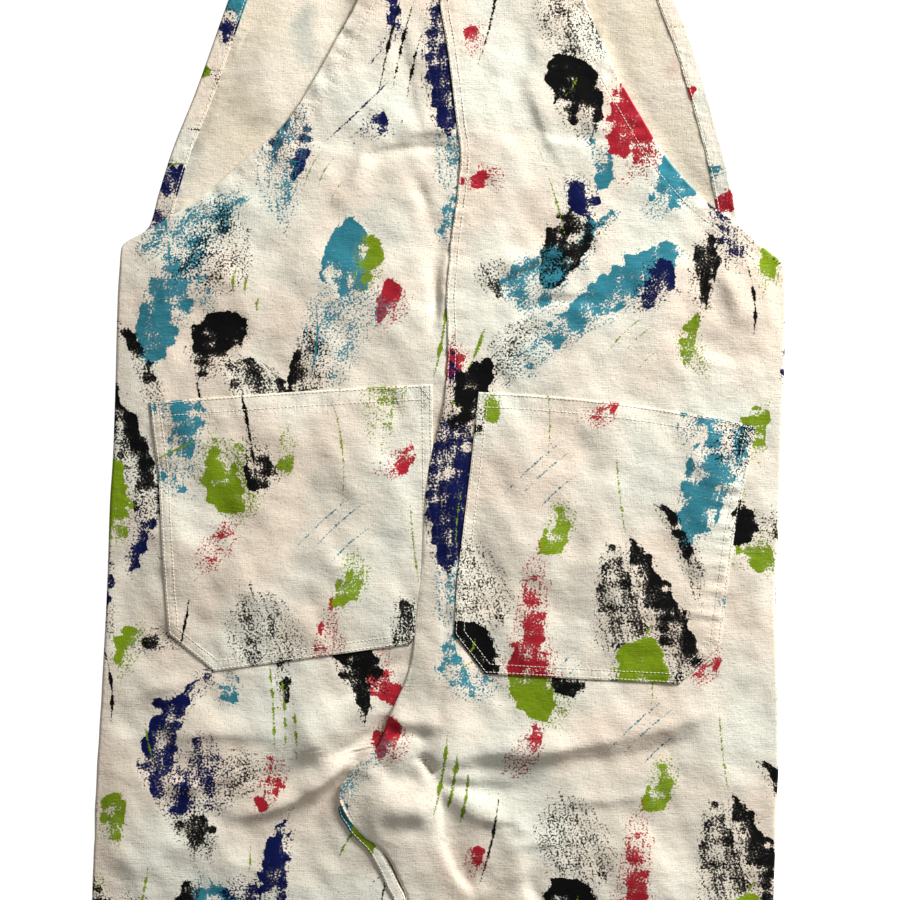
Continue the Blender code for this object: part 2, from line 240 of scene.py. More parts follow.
def clearance(one, other):  # room between two marks on the repeat
    gaps = [repeatGap(*here, *there) for here in alongMark(one) for there in alongMark(other)]
    return min(gaps) - (one["width"] + other["width"]) / 2


def scatterMarks():  # groups of brush marks and single dabs in three layers, thin flicks over all
    rng = np.random.default_rng(printCloth["seed"])
    smears, flicks, taken = [], [], []
    lean = printCloth["lean"]
    for inks in printCloth["groups"]:
        x, y = freePlace(rng, taken, 16)
        way = rng.normal(*lean["groups"])
        for which, short, long, narrow, wide, full, dry, off in printCloth["marks"]:
            angle = rng.random() * 2 * math.pi
            place = (x + off * math.cos(angle), y + 1.3 * off * math.sin(angle))
            size = (rng.uniform(short, long), rng.uniform(narrow, wide))
            turn = way + rng.normal(*lean["marks"])
            smears.append(newMark(rng, inks.split()[which], place, *size, full, dry, turn))
    for ink, count in printCloth["dabs"]:
        for _ in range(count):
            place = freePlace(rng, taken, 30)
            size = [rng.uniform(*between) for between in printCloth["dabSize"]]
            smears.append(newMark(rng, ink, place, *size, 0.7, rng.normal(*lean["dabs"])))
    layers = ([], [], [])
    for mark in smears:  # each goes into the layer with most room, or is left out
        rooms = [min((clearance(mark, one) for one in others), default=999) for others in layers]
        if max(rooms) > printCloth["apart"]:
            layers[rooms.index(max(rooms))].append(mark)
    taken = []
    for ink, count in printCloth["flicks"]:
        for _ in range(count):
            place = freePlace(rng, taken, 6)
            size = [rng.uniform(*between) for between in printCloth["flickSize"]]
            flick = newMark(rng, ink, place, *size, 1, 0, rng.normal(*lean["flicks"]))
            for beside in range(rng.choice((1, 1, 1, 1, 3))):  # some run side by side
                flicks.append({
                    **flick, "x": flick["x"] + 9 * beside, "y": flick["y"] - 5 * beside**2,
                    "length": flick["length"] * (1 - 0.2 * beside), "turn": flick["turn"] + 180 * beside,
                    "bow": flick["bow"] * 0.4 * (-1) ** beside,
                })
    return layers, flicks


def layMarks(marks, x, y, thin):  # for each point: place on the nearest mark, its colour and fullness
    width, height = printCloth["repeat"]
    best = np.full(x.size, -60.0)
    place = np.zeros((x.size, 3)) + ((0, 30, -3) if thin else (0, 30, -40))
    colour = np.ones((x.size, 4))
    ragged = 1.5 * rumple(x, y, 71, 8, 30)
    patchy = rumple(x, y, 72, 8, 30)
    for mark in marks:
        ink = np.clip(np.array(linear(printCloth["inks"][mark["ink"]])) * (1 + 0.12 * mark["tint"]), 0, 1)
        reach = mark["length"] / 2 + 28
        cos, sin = math.cos(math.radians(mark["turn"])), math.sin(math.radians(mark["turn"]))
        half = mark["width"] / 2
        columns, rows = (
            range(math.floor((at.min() - reach) / size), math.ceil((at.max() + reach) / size) + 1)
            for at, size in ((x - mark["x"], width), (y - mark["y"], height))
        )
        for column, row in itertools.product(columns, rows):
            dx = x - mark["x"] - column * width
            dy = y - mark["y"] - row * height
            near = (abs(dx) < reach) & (abs(dy) < reach)
            if not near.any():
                continue
            dx, dy = dx[near], dy[near]
            u = dx * cos + dy * sin
            share = 2 * u / mark["length"]
            v = -dx * sin + dy * cos + mark["bow"] * np.minimum(share**2, 2)
            if thin:
                depth = half * (1 - share**2) * (0.85 + 0.35 * rumple(u, u * 0, mark["seed"], 7, 30, 6))
                gap = depth - abs(v)
                v = np.where(gap < -6, 30.0, v)
                depth = np.where(gap < -6, -3.0, np.maximum(depth, -3.0))
                fullness = u * 0 + 1
            else:
                fingers = rumple(v, v * 0, mark["seed"], 4, 16, 8)
                ends = mark["length"] / 2 * (1 + 0.18 * fingers * soft(share + 0.5)) - abs(u)
                belly = np.clip(1 - np.abs(share) ** 2.6, 0.02, 1) ** 0.5 * (1 + mark["wedge"] * share)
                depth = gap = np.minimum(ends, half * belly - abs(v)) + ragged[near]
                drying = 0.75 * mark["dry"] * soft((share + 0.7) / 1.6)
                fading = 0.3 * mark["fade"] * np.clip(v / half, -1, 1)
                fullness = mark["full"] * (1 - drying - fading + 0.22 * patchy[near])
            better = gap > best[near]
            index = np.flatnonzero(near)[better]
            best[index] = gap[better]
            place[index] = np.stack((u, v, depth), -1)[better]
            colour[index] = (*ink, 0)
            colour[index, 3] = fullness[better]
    return place, colour


layers, flicks = scatterMarks()
inkLevels = [*zip(("inkA", "inkB", "inkC"), layers, (False,) * 3), ("inkD", flicks, True)]
print("print laid out:", sum(len(marks) for marks in layers), "smears,", len(flicks), "flicks")

canvas = {  # millimetres
    "cloth": 1.2, "gap": 0.3, "turned": 2.3,  # one layer, between layers, and where an edge is turned in
    "stitch": 2.3, "pitch": 3.0, "thread": 0.3,
}
layer = canvas["cloth"] + canvas["gap"]
back = table(
    "y leftSide leftInner rightInner rightSide",
    (-700, -298, -60, 34, 272),
    (-400, -287, -48, 12, 264),
    (-220, -279, -36, -18, 258),
    (-121, -275, -30, -29.4, 256),
    (-106, -274.6, -36, -35.7, 256.5),
    (-91, -274, -43, -42.7, 257),
    (-80, -273.6, -49, -51, 257.6),
    (-71, -273, -54, -63, 258),
    (-53, -273, -60, -76, 258),
    (-36, -272, -58, -82, 259),
    (-12, -271, -38, -65.5, 260),
    (0, -270, -12, -52, 260),
    (19, -269, -6, -45, 260),
    (33, -268, -2, -39, 260),
    (53, -267, -2, -30, 259),
    (71, -266, -2, -25.5, 258.5),
    (108, -264, -2, -22, 257),
    (132, -263, -2, -19.5, 258),
    (191, -261, -2, -16, 261),
    (221, -259, -2, -12, 262),
    (244, -258, 0, -6, 263),
    (275, -257, 4, 0, 264),
    (317, -256, 9, 2, 265),
    (350, -255, 8, 1, 266),
    (373, -253.5, 10, 3, 264),
    (388, -252, 11, 4, 248),
    (404, -227, 13, 6, 230),
    (425, -193, 16, 9, 202),
    (461, -151, 19, 12, 170),
    (484, -125, 16, 9, 156),
    (526, -98, 11, 4, 132),
    (548, -86, 8, 1, 122),
    (581, -68, 3, -4, 108),
    (615, -56, 7, 0, 88),
    (653, -46, 13, 6, 68),
)
# The right half over the left: how wide the lap is, how high its two sides are, how round its edge is,
# over what length it comes down again, and how far its edge stands off the left half.
lap = table(
    "y width rise inner roll after off",
    (-700, 40, 0, 0, 2.4, 30, 0),
    (-220, 40, 0, 0, 2.4, 30, 0),
    (-121, 40, 1.5, 0, 2.6, 30, 0),
    (-90, 50, 2.8, 0.4, 3.0, 30, 0.2),
    (-66, 60, 4.0, 0.8, 3.0, 30, 1.0),
    (-38, 72, 4.4, 1.0, 3.4, 30, 2.2),
    (0, 48, 3.6, 1.8, 2.4, 34, 2.0),
    (22, 38, 2.7, 2.7, 1.8, 35, 0.6),
    (48, 30, 2.0, 3.3, 1.6, 35, 0),
    (93, 23, 1.9, 3.2, 1.4, 35, 0),
    (126, 19.5, 1.9, 3.1, 1.4, 35, 0),
    (160, 14, 2.0, 2.9, 1.4, 30, 0),
    (215, 8.5, 2.1, 2.4, 1.2, 24, 0),
    (266, 8, 1.7, 1.6, 0.8, 18, 0),
    (310, 8, 0.5, 0.5, 0.7, 16, 0),
    (653, 8, 0.5, 0.5, 0.7, 16, 0),
)
foldColumns = "x0 y0 x1 y1 bow height left right form"
folds = {  # ridges and troughs of both halves together, then of each half alone
    "both": table(
        foldColumns,
        # upper back
        (-70, 461, 16, 466, 1, -2.6, 2.4, 5, 1.3),
        (-40, 474, 12, 479, 2, 2.8, 13, 5, 1.6),
        (30, 474, 150, 470, 3, -1.2, 8, 4, 1.5),
        (-130, 470, -62, 462, 3, -1.1, 7, 4, 1.5),
        (-32, 574, -19, 472, -3, -1.5, 4, 8, 1.4),
        (-5, 404, -8, 316, 1, -3.8, 3, 6, 1.3),
        (-22, 446, -6, 388, 2, -1.6, 4, 6, 1.4),
        (-60, 470, -95, 415, 6, 2.0, 12, 7, 1.8),
        (70, 520, 105, 440, -8, 2.0, 14, 7, 1.8),
        (62, 590, 56, 490, 3, -1.0, 8, 14, 1.8),
        # over the seat
        (35, 349, 98, 384, 4, -2.8, 4, 7, 1.3),
        (40, 362, 104, 392, 4, 2.0, 9, 6, 1.6),
        (50, 335, 126, 348, 3, -1.8, 4, 5, 1.4),
        (-150, 350, -215, 300, 5, -2.0, 8, 14, 1.7),
        (170, 330, 235, 296, -4, -2.0, 12, 7, 1.7),
        (-205, 372, -238, 322, 4, 1.8, 6, 10, 1.5),
        (216, 374, 240, 316, -4, 1.8, 9, 6, 1.5),
        # lower legs
        (-96, -170, -150, -330, 8, 2.8, 20, 26, 2),
        (-200, -300, -230, -430, -6, -2.0, 16, 20, 2),
        (-130, -400, -205, -610, 8, 2.8, 24, 20, 2),
        (60, -190, 110, -350, -6, 2.8, 22, 18, 2),
        (190, -260, 160, -420, 6, -2.0, 18, 18, 2),
        (110, -430, 190, -620, -8, 2.6, 20, 26, 2),
        (-262, -520, -150, -548, 4, -1.5, 10, 14, 1.8),
        (80, -540, 240, -520, 4, -1.5, 12, 10, 1.8),
    ),
    "left": table(
        foldColumns,
        (-120, -16, -40, -4, 0, 4.0, 52, 55, 2),
        # drawn from the crotch across the leg
        (-24, 66, -150, -18, 8, 4.8, 11, 17, 1.4),
        (-24, 76, -100, 28, 3, -2.2, 3, 4, 1.3),
        (-34, 22, -96, -8, 3, -2.6, 8, 4.5, 1.4),
        (-120, 4, -214, 4, -6, 2.6, 5, 12, 1.4),
        (-58, 0, -180, -62, 10, 5.6, 5, 14, 1.4),
        (-150, -20, -226, -30, 4, 2.0, 5, 9, 1.4),
        (-42, 24, -74, -22, -3, -4.5, 6, 8, 1.4),
        (-58, -4, -136, -96, -4, -5.5, 9, 6, 1.4),
        (-150, -78, -176, -124, -5, 2.2, 7, 14, 1.5),
        (-186, -36, -236, -26, -3, 1.6, 9, 5, 1.4),
        (-176, 60, -240, 44, 3, 1.2, 5, 11, 1.5),
        (-210, 40, -262, 10, 3, -2.0, 10, 12, 2),
        (-206, -60, -262, -100, 6, 2.2, 14, 18, 2),
    ),
    "right": table(
        foldColumns,
        (-60, -25, 30, -25, 0, 3.0, 50, 50, 2),
        # roll at the foot of the lap, the seam's end, and the lobes under it
        (-54, 18, 6, 16, 1, 3.0, 12, 7, 1.5),
        (-50, 7, -6, 6, 2, -1.6, 4, 5, 1.4),
        (-58, 2, -16, 2, 2, 2.4, 4, 15, 1.6),
        (-53, -2, -21, -4, 10, -2.6, 1.4, 2.0, 1.4),
        (-52, -24, -14, -22, -1, -2.6, 10, 7, 1.6),
        (-70, -42, -4, -40, -6, 4.4, 13, 13, 1.6),
        (-56, -62, -14, -58, -1, -1.0, 7, 10, 1.6),
        (-52, -4, -62, -32, 0, 2.4, 5, 11, 1.4),
        (-21, -4, -7, -25, 2, -5.0, 3.5, 3, 1.3),
        (-8, -22, -5, -30, 0, -1.4, 3, 3, 1.5),
        # right leg
        (-22, -3, 112, -3, -5, 4.4, 16, 7, 1.5),
        (30, -6, 230, 36, -10, 2.8, 16, 5.5, 1.3),
        (0, -15, 54, -19, -1, -1.6, 4, 7, 1.5),
        (80, -14, 214, 14, -6, -2.0, 5, 12, 1.5),
        (90, -44, 168, -34, -3, 1.8, 9, 5, 1.4),
        (-12, -26, 66, -36, -3, -3.4, 6, 8, 1.5),
        (4, -46, 72, -70, -3, 3.2, 12, 6, 1.4),
        (22, -62, 56, -66, 1, -2.0, 3, 4, 1.4),
        (46, -80, 92, -74, -2, 1.6, 8, 4, 1.4),
        (-6, -26, 26, -124, -6, -7.5, 13, 3.5, 1.15),
        (24, -110, 46, -230, -6, -4.0, 12, 6, 1.4),
        (34, -60, 74, -140, 4, 3.0, 9, 14, 1.6),
        (60, -96, 84, -128, 2, -1.8, 5, 8, 1.5),
        (205, 10, 262, -30, -4, -2.0, 12, 14, 2),
        (226, -64, 262, -118, 4, 2.0, 8, 12, 1.8),
        (120, -60, 190, -130, 8, 2.2, 16, 22, 2),
    ),
}
armholeBottom, waistHeight, backTop, legHem = 384.0, 300.0, 653.0, -700.0
backSeams = {
    "hem": 13.0,  # at the legs' ends and the top of the back
    "arm": 12.0,  # hem along the armholes
    "fell": (1.4, 6.4),  # rows of stitching beside the edge of the centre seam
}
halfEdges = {"left": ("leftSide", "leftInner"), "right": ("rightInner", "rightSide")}
inward = {"left": 1, "right": -1}  # from the side's outer edge


def sideDistance(x, y):  # square distance in from the outer edge of the back
    return np.maximum(np.minimum(pastEdge(back, "leftSide", x, y), -pastEdge(back, "rightSide", x, y)), 0)


lie = {  # how the back lies, below the armholes' foot and above it
    "start": (1.5, 2.3),  # height of its edge
    "roll": (2.4, 1.3),  # how round its side is
    "loose": (2.7, 1.1),  # air under it
    "strapped": 2.4,  # how far the ends of the straps lift it
    "uneven": ((0.7, 21, 50, 150), (0.24, 22, 14, 40)),  # height, seed, shortest and longest waves
}


def backHeight(x, y, side):  # outer side of one half of the back, without the lap
    inside = sideDistance(x, y)
    arm = soft((y - armholeBottom + 16) / 24)
    start, roll, loose = (mix(*lie[key], arm) for key in ("start", "roll", "loose"))
    strapped = soft((y - 600) / 36)
    loose *= (1 - 0.8 * strapped) * (1 - np.exp(-inside / 24))
    height = start + roll * roundEdge(inside, roll) + loose + lie["strapped"] * strapped
    height -= 0.45 * arm * bell(inside - backSeams["arm"], 1.3)  # drawn in at the armhole's stitching
    uneven = sum(tall * rumple(x, y, *waves) for tall, *waves in lie["uneven"])
    creases = creaseHeight(x, y, folds["both"]) + creaseHeight(x, y, folds[side])
    height += (1 - 0.7 * strapped) * soft(inside / 16) * (creases + uneven)
    lowest = start + 0.6 * roll * roundEdge(inside, roll)
    spare = height - lowest
    return lowest + (spare + np.sqrt(spare**2 + 1.2)) / 2


def legInner(y):  # 1 where the legs are apart
    return soft((-64 - y) / 26)


def leftHeight(x, y):
    height = backHeight(x, y, "left")
    height -= soft((y - 262) / 48) * soft((x - curveAt(back, "rightInner", y) + 2) / 4.5)  # under the fell
    rounded = roundEdge(-pastEdge(back, "leftInner", x, y), 2.4)
    return height - legInner(y) * (1 - rounded) * (height - 1.7)


def lapRise(x, y):
    inside = pastEdge(back, "rightInner", x, y)
    evened = sum(curveAt(back, "rightInner", y + step) for step in (-18, -9, 0, 9, 18)) / 5
    inside = mix(inside, x - evened, soft(inside / 20))  # farther in, the edge's turns no longer tell
    width = curveAt(lap, "width", y)
    rise, inner = curveAt(lap, "rise", y), curveAt(lap, "inner", y)
    crest = 1 - 0.25 * soft((0.25 - inside / width) / 0.25)  # highest a little way in
    over = mix(rise * crest, inner, soft(inside / width))
    over *= 1 - soft((inside - width) / curveAt(lap, "after", y))
    seam = soft((y - 292) / 14)
    for row in backSeams["fell"]:  # which draw the fell in
        over -= 0.25 * seam * bell(inside - row, 0.9)
    valley = soft((y - 2) / 14) * (1 - soft((y - 222) / 30))
    beyond = inside - width
    over -= valley * 0.8 * np.exp(-((np.sqrt(beyond**2 + 0.1) / np.where(beyond < 0, 1.6, 2.6)) ** 1.2))
    over += valley * 0.9 * bell(beyond - 13, 9)
    return inside, over


def rightHeight(x, y):
    inside, over = lapRise(x, y)
    height = backHeight(x, y, "right") + over
    covered = x - curveAt(back, "leftInner", y)
    height = np.maximum(height, leftHeight(x, y) + layer - 1.5 * np.maximum(covered, 0))
    free = mix(1.7, 3.0, soft((y + 124) / 40))
    low = mix(leftHeight(x, y) + 0.5 + curveAt(lap, "off", y), free, legInner(y))
    return mix(low, height, roundEdge(inside, curveAt(lap, "roll", y)))


halfHeights = {"left": leftHeight, "right": rightHeight}


def rowsThrough(*stretches):  # heights up the cloth: (start, end, spacing)
    rows = [
        np.linspace(start, end, max(2, round(abs(end - start) / gap) + 1))
        for start, end, gap in stretches
    ]
    return np.unique(np.concatenate(rows).round(3))


edgeSteps = np.array((0, 0.12, 0.4, 0.85, 1.4, 2.1, 3.0, 4.2, 5.6, 7.2, 9.0, 10.8, 12.4, 14.2))


def gridBetween(rows, edges, leftName, rightName, pitch, steps=edgeSteps, inset=(0, 0)):  # dense at edges
    leftSlant, rightSlant = slantAt(edges, leftName, rows), slantAt(edges, rightName, rows)
    left = curveAt(edges, leftName, rows) + inset[0]
    right = curveAt(edges, rightName, rows) - inset[1]
    fromLeft = left[:, None] + steps * leftSlant[:, None]
    fromRight = right[:, None] - steps[::-1] * rightSlant[:, None]
    room = np.max(fromRight[:, 0] - fromLeft[:, -1])
    shares = np.linspace(0, 1, max(3, round(room / pitch)) + 1)[1:-1]
    middle = fromLeft[:, -1:] + (fromRight[:, :1] - fromLeft[:, -1:]) * shares
    x = np.concatenate((fromLeft, middle, fromRight), 1)
    return x, np.broadcast_to(rows[:, None], x.shape).copy()


def giveAttribute(mesh, name, values, kind="FLOAT_VECTOR", field="vector"):
    layerData = mesh.attributes.new(name, kind, "POINT")
    layerData.data.foreach_set(field, np.ascontiguousarray(values, dtype=np.float32).ravel())


def addMesh(name, points, faces, materials, slots=None):
    mesh = bpy.data.meshes.new(name)
    mesh.from_pydata(((points + shift) * mm).tolist(), [], faces)
    for material in materials:
        mesh.materials.append(material)
    if slots is not None:
        mesh.polygons.foreach_set("material_index", slots)
    mesh.shade_smooth()
    piece = bpy.data.objects.new(name, mesh)
    bpy.context.collection.objects.link(piece)
    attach(piece, "root")
    return piece


def layCloth(name, x, y, height, thick, materials, cut, seam=None, printed=None, spread=None):
    top = np.stack((x, y, height), -1)
    rows, columns = x.shape
    thick = np.broadcast_to(np.asarray(thick, float), (rows, columns))[..., None]
    under = top - unit(np.cross(np.gradient(top, axis=1), np.gradient(top, axis=0))) * thick
    under[..., 2] = np.maximum(under[..., 2], 0)
    loop = [(0, c) for c in range(columns)] + [(r, columns - 1) for r in range(1, rows)]
    loop += [(rows - 1, c) for c in range(columns - 2, -1, -1)] + [(r, 0) for r in range(rows - 2, 0, -1)]
    r, c = np.array(loop).T
    outward = unit(top[r, c] - top[np.clip(r, 1, rows - 2), np.clip(c, 1, columns - 2)])
    rim = (top[r, c] + under[r, c]) / 2 + outward * thick[r, c] * 0.4
    rim[:, 2] = np.maximum(rim[:, 2], 0.05)
    total = rows * columns
    number = np.arange(total).reshape(rows, columns)
    quads = (number[:-1, :-1], number[:-1, 1:], number[1:, 1:], number[1:, :-1])
    quads = np.stack(quads, -1).reshape(-1, 4)
    edge = number[r, c]
    middle = 2 * total + np.arange(len(loop))
    following = np.roll(np.arange(len(loop)), -1)
    upper = np.stack((edge, middle, middle[following], edge[following]), 1)
    lower = np.stack((middle, edge + total, edge[following] + total, middle[following]), 1)
    faces = np.concatenate((quads, upper, lower, quads[:, ::-1] + total))
    slots = np.zeros(len(faces), dtype=np.int32)
    if len(materials) > 1:
        slots[len(quads) + 2 * len(loop) :] = 1
        if printed == "below":
            slots[len(quads) :] = 1
    points = np.concatenate((top.reshape(-1, 3), under.reshape(-1, 3), rim))
    piece = addMesh(name, points, faces.tolist(), materials, slots)

    def everywhere(values):  # the same value on both sides of the cloth
        flat = values.reshape(total, -1)
        return np.concatenate((flat, flat, flat[edge]))

    x, y = spread or (x, y)  # the cloth's own two directions, where they aren't simply x and y
    turn, startX, startY = cuts[cut]
    cos, sin = math.cos(math.radians(turn)), math.sin(math.radians(turn))
    clothX = x * cos - y * sin + startX
    clothY = x * sin + y * cos + startY
    mesh = piece.data
    giveAttribute(mesh, "weave", everywhere(np.stack((clothX, clothY, clothX * 0), -1)))
    for levelName, marks, thin in inkLevels:
        place, colour = layMarks(marks, clothX.ravel(), clothY.ravel(), thin)
        giveAttribute(mesh, levelName, everywhere(place))
        giveAttribute(mesh, levelName + "Tint", everywhere(colour), "FLOAT_COLOR", "color")
    if seam is None:
        seam = np.zeros_like(top) + (0, 50, 0)
    giveAttribute(mesh, "seam", everywhere(seam))
    return piece


def addNode(tree, kind, settings=None, out=0, **inputs):  # i0, i1 ... are inputs by number; gives a socket
    made = tree.nodes.new("ShaderNode" + kind)
    for key, value in (settings or {}).items():
        setattr(made, key, value)
    for key, value in inputs.items():
        socket = made.inputs[int(key[1:])] if key[1:].isdigit() else made.inputs[key.replace("_", " ")]
        if isinstance(value, bpy.types.NodeSocket):
            tree.links.new(value, socket)
        else:
            socket.default_value = value
    return made.outputs[out] if made.outputs else None


def newMaterial(name):
    material = bpy.data.materials.new(name)
    material.use_nodes = True
    tree = material.node_tree
    tree.nodes.clear()
    return material, tree


canvasColours = {
    "base": "#F1E1CD",  # ecru cotton canvas, loom state
    "light": "#F0EFDF",  # paler and cooler in places
    "warm": "#DDCDB1",
    "inner": "#F5EAD6",
    "innerWarm": "#E8DABF",
    "fleck": "#6E5B42",
}
grains = {  # size along the weft and along the warp in millimetres, detail and roughness of each unevenness
    "slubs": (9.0, 0.8, 3.0, 0.6),  # thick places in the yarn
    "warp": (0.9, 9.0, 2.0, 0.5),  # the real threads are 0.6 mm apart, drawn coarser so that they show
    "broad": (90.0, 90.0, 2.0, 0.5),
    "flecks": (1.5, 0.9, 1.0, 0.5),
    "specks": (1.7, 1.6, 2.0, 0.6),  # where a dry brush misses
    "ragged": (4.0, 4.0, 3.0, 0.6),
    "crumple": (17.0, 11.0, 5.0, 0.62),
}


def canvasMaterial(name, inside):
    material, tree = newMaterial(name)
    flat, colours = {"noise_dimensions": "2D"}, {"data_type": "RGBA"}
    ways = ("DIVIDE", "ADD", "SUBTRACT", "MULTIPLY", "MAXIMUM", "ABSOLUTE", "EXPONENT", "MULTIPLY_ADD")
    divide, add, less, times, most, positive, power, timesAdd = ({"operation": way} for way in ways)
    place = addNode(tree, "Attribute", {"attribute_name": "weave"}, out="Vector")
    noise = {}
    for key, (along, up, detail, rough) in grains.items():
        spot = addNode(tree, "VectorMath", divide, i0=place, i1=(along, up, 1))
        noise[key] = addNode(tree, "TexNoise", flat, Vector=spot, Scale=1.0, Detail=detail, Roughness=rough)
    tones = ("inner", "innerWarm") if inside else ("base", "light")
    base, light = ((*linear(canvasColours[tone]), 1) for tone in tones)
    base = addNode(tree, "Mix", colours, out=2, i6=base, i7=light,
                   i0=addNode(tree, "MapRange", i0=noise["broad"], i1=0.35, i2=0.7))
    spots = ("slubs", 0.5, 0.8, 0.22, "warm"), ("flecks", 0.7, 0.755, 0.65, "fleck")
    for key, low, high, top, tone in spots:
        share = addNode(tree, "MapRange", i0=noise[key], i1=low, i2=high, i4=top)
        base = addNode(tree, "Mix", colours, out=2, i0=share, i6=base, i7=(*linear(canvasColours[tone]), 1))
    colour, covered = base, 0.0
    specks = addNode(tree, "MapRange", i0=noise["specks"], i1=0.3, i2=0.7)
    ragged = addNode(tree, "MapRange", i0=noise["ragged"], i1=0.3, i2=0.7, i3=-0.9, i4=0.9)
    for levelName, _, thin in inkLevels:
        if inside and thin:
            continue
        ink = addNode(tree, "Attribute", {"attribute_name": levelName}, out="Vector")
        tint = addNode(tree, "Attribute", {"attribute_name": levelName + "Tint"}, out="Color")
        full = tree.nodes[-1].outputs["Alpha"]
        depth = addNode(tree, "SeparateXYZ", out=2, i0=ink)
        across = tree.nodes[-1].outputs[1]
        edge = addNode(tree, "Math", add, i0=depth, i1=ragged)
        if inside:  # only a little comes through
            bleed = addNode(tree, "MapRange", i0=edge, i1=-2.0, i2=9.0, i4=0.36)
            bleed = addNode(tree, "Math", times, i0=bleed, i1=full)
            colour = addNode(tree, "Mix", colours, out=2, i0=bleed, i6=colour, i7=tint)
            continue
        if thin:
            rough = addNode(tree, "Math", times, i0=ragged, i1=0.5)
            gaps = addNode(tree, "MapRange", i0=specks, i3=-0.85, i4=0.6)
            rough = addNode(tree, "Math", add, i0=rough, i1=gaps)
            across = addNode(tree, "Math", positive, i0=across)
            beside = addNode(tree, "Math", less, i0=depth, i1=across)
            beside = addNode(tree, "Math", add, i0=beside, i1=rough)
            paint = addNode(tree, "MapRange", i0=beside, i1=-0.12, i2=0.3)
        else:
            streaks = addNode(tree, "VectorMath", divide, i0=ink, i1=(30, 2.6, 1))
            streaks = addNode(tree, "TexNoise", flat, Vector=streaks, Scale=1.0, Detail=3.0, Roughness=0.6)
            streaks = addNode(tree, "MapRange", i0=streaks, i1=0.3, i2=0.7)
            dryness = addNode(tree, "Mix", {"data_type": "FLOAT"}, i0=0.32, i2=specks, i3=streaks)
            # a wet mark has a narrow edge, a dry one a wide one
            soaked = addNode(tree, "MapRange", i0=full, i1=0.5, i2=0.95, i3=9.0, i4=1.2)
            body = addNode(tree, "MapRange", i0=edge, i1=-0.6, i2=soaked)
            body = addNode(tree, "Math", times, i0=body, i1=full)
            loose = addNode(tree, "MapRange", i0=edge, i1=-printCloth["halo"], i2=0.5, i4=0.38)
            fading = addNode(tree, "MapRange", i0=depth, i1=-printCloth["halo"], i2=-1.0)
            loose = addNode(tree, "Math", times, i0=loose, i1=fading)
            cover = addNode(tree, "Math", most, i0=body, i1=loose)
            cover = addNode(tree, "Math", less, i0=cover, i1=dryness)
            paint = addNode(tree, "MapRange", i0=cover, i1=-0.02, i2=0.07)
            # where it is thin the cloth comes through
            film = addNode(tree, "MapRange", i0=cover, i1=0.05, i2=0.4, i3=0.88, i4=1.0)
            paint = addNode(tree, "Math", times, i0=paint, i1=film)
        shade = addNode(tree, "MapRange", i0=noise["slubs"], i1=0.3, i2=0.7, i3=0.86, i4=1.16)
        shade = addNode(tree, "Mix", colours | {"blend_type": "MULTIPLY"}, out=2, i0=1.0, i6=tint, i7=shade)
        colour = addNode(tree, "Mix", colours, out=2, i0=paint, i6=colour, i7=shade)
        covered = addNode(tree, "Math", most, i0=paint, i1=covered)
    seam = addNode(tree, "Attribute", {"attribute_name": "seam"}, out="Vector")
    strength = addNode(tree, "SeparateXYZ", out=2, i0=seam)
    reach = addNode(tree, "Math", times, i0=tree.nodes[-1].outputs[1], i1=-0.14)
    reach = addNode(tree, "Math", power, i0=reach)
    gathers = addNode(tree, "VectorMath", divide, i0=seam, i1=(5.5, 14, 1))
    height = addNode(tree, "TexNoise", flat, Vector=gathers, Scale=1.0, Detail=2.0)
    for factor in (reach, strength, 0.7):
        height = addNode(tree, "Math", times, i0=height, i1=factor)
    for key, tall in (("slubs", 0.18), ("warp", 0.12), ("crumple", 0.8)):
        height = addNode(tree, "Math", timesAdd, i0=noise[key], i1=tall, i2=height)
    bump = addNode(tree, "Bump", Strength=1.0, Distance=mm, Height=height)
    rough = 0.93 if inside else addNode(tree, "MapRange", i0=covered, i3=0.92, i4=0.8)
    surface = addNode(tree, "BsdfPrincipled", Base_Color=colour, Roughness=rough, Normal=bump,
                      Sheen_Weight=0.02, Sheen_Roughness=0.6, Specular_IOR_Level=0.08)
    addNode(tree, "OutputMaterial", i0=surface)
    return material


def threadMaterial():
    material, tree = newMaterial("ivory cotton sewing thread")  # dull twisted yarn, a little shine
    place = addNode(tree, "TexCoord", out="Object")
    uneven = addNode(tree, "TexNoise", Vector=place, Scale=140.0, Detail=2.0)
    tones = {"i6": (*linear("#E6DCC6"), 1), "i7": (*linear("#F8F2E4"), 1)}
    colour = addNode(tree, "Mix", {"data_type": "RGBA"}, out=2, i0=uneven, **tones)
    twist = addNode(tree, "TexNoise", Vector=place, Scale=1600.0, Detail=1.0)
    bump = addNode(tree, "Bump", Strength=0.6, Distance=0.1 * mm, Height=twist)
    surface = addNode(tree, "BsdfPrincipled", Base_Color=colour, Roughness=0.7, Normal=bump,
                      Sheen_Weight=0.2, Specular_IOR_Level=0.3)
    addNode(tree, "OutputMaterial", i0=surface)
    return material


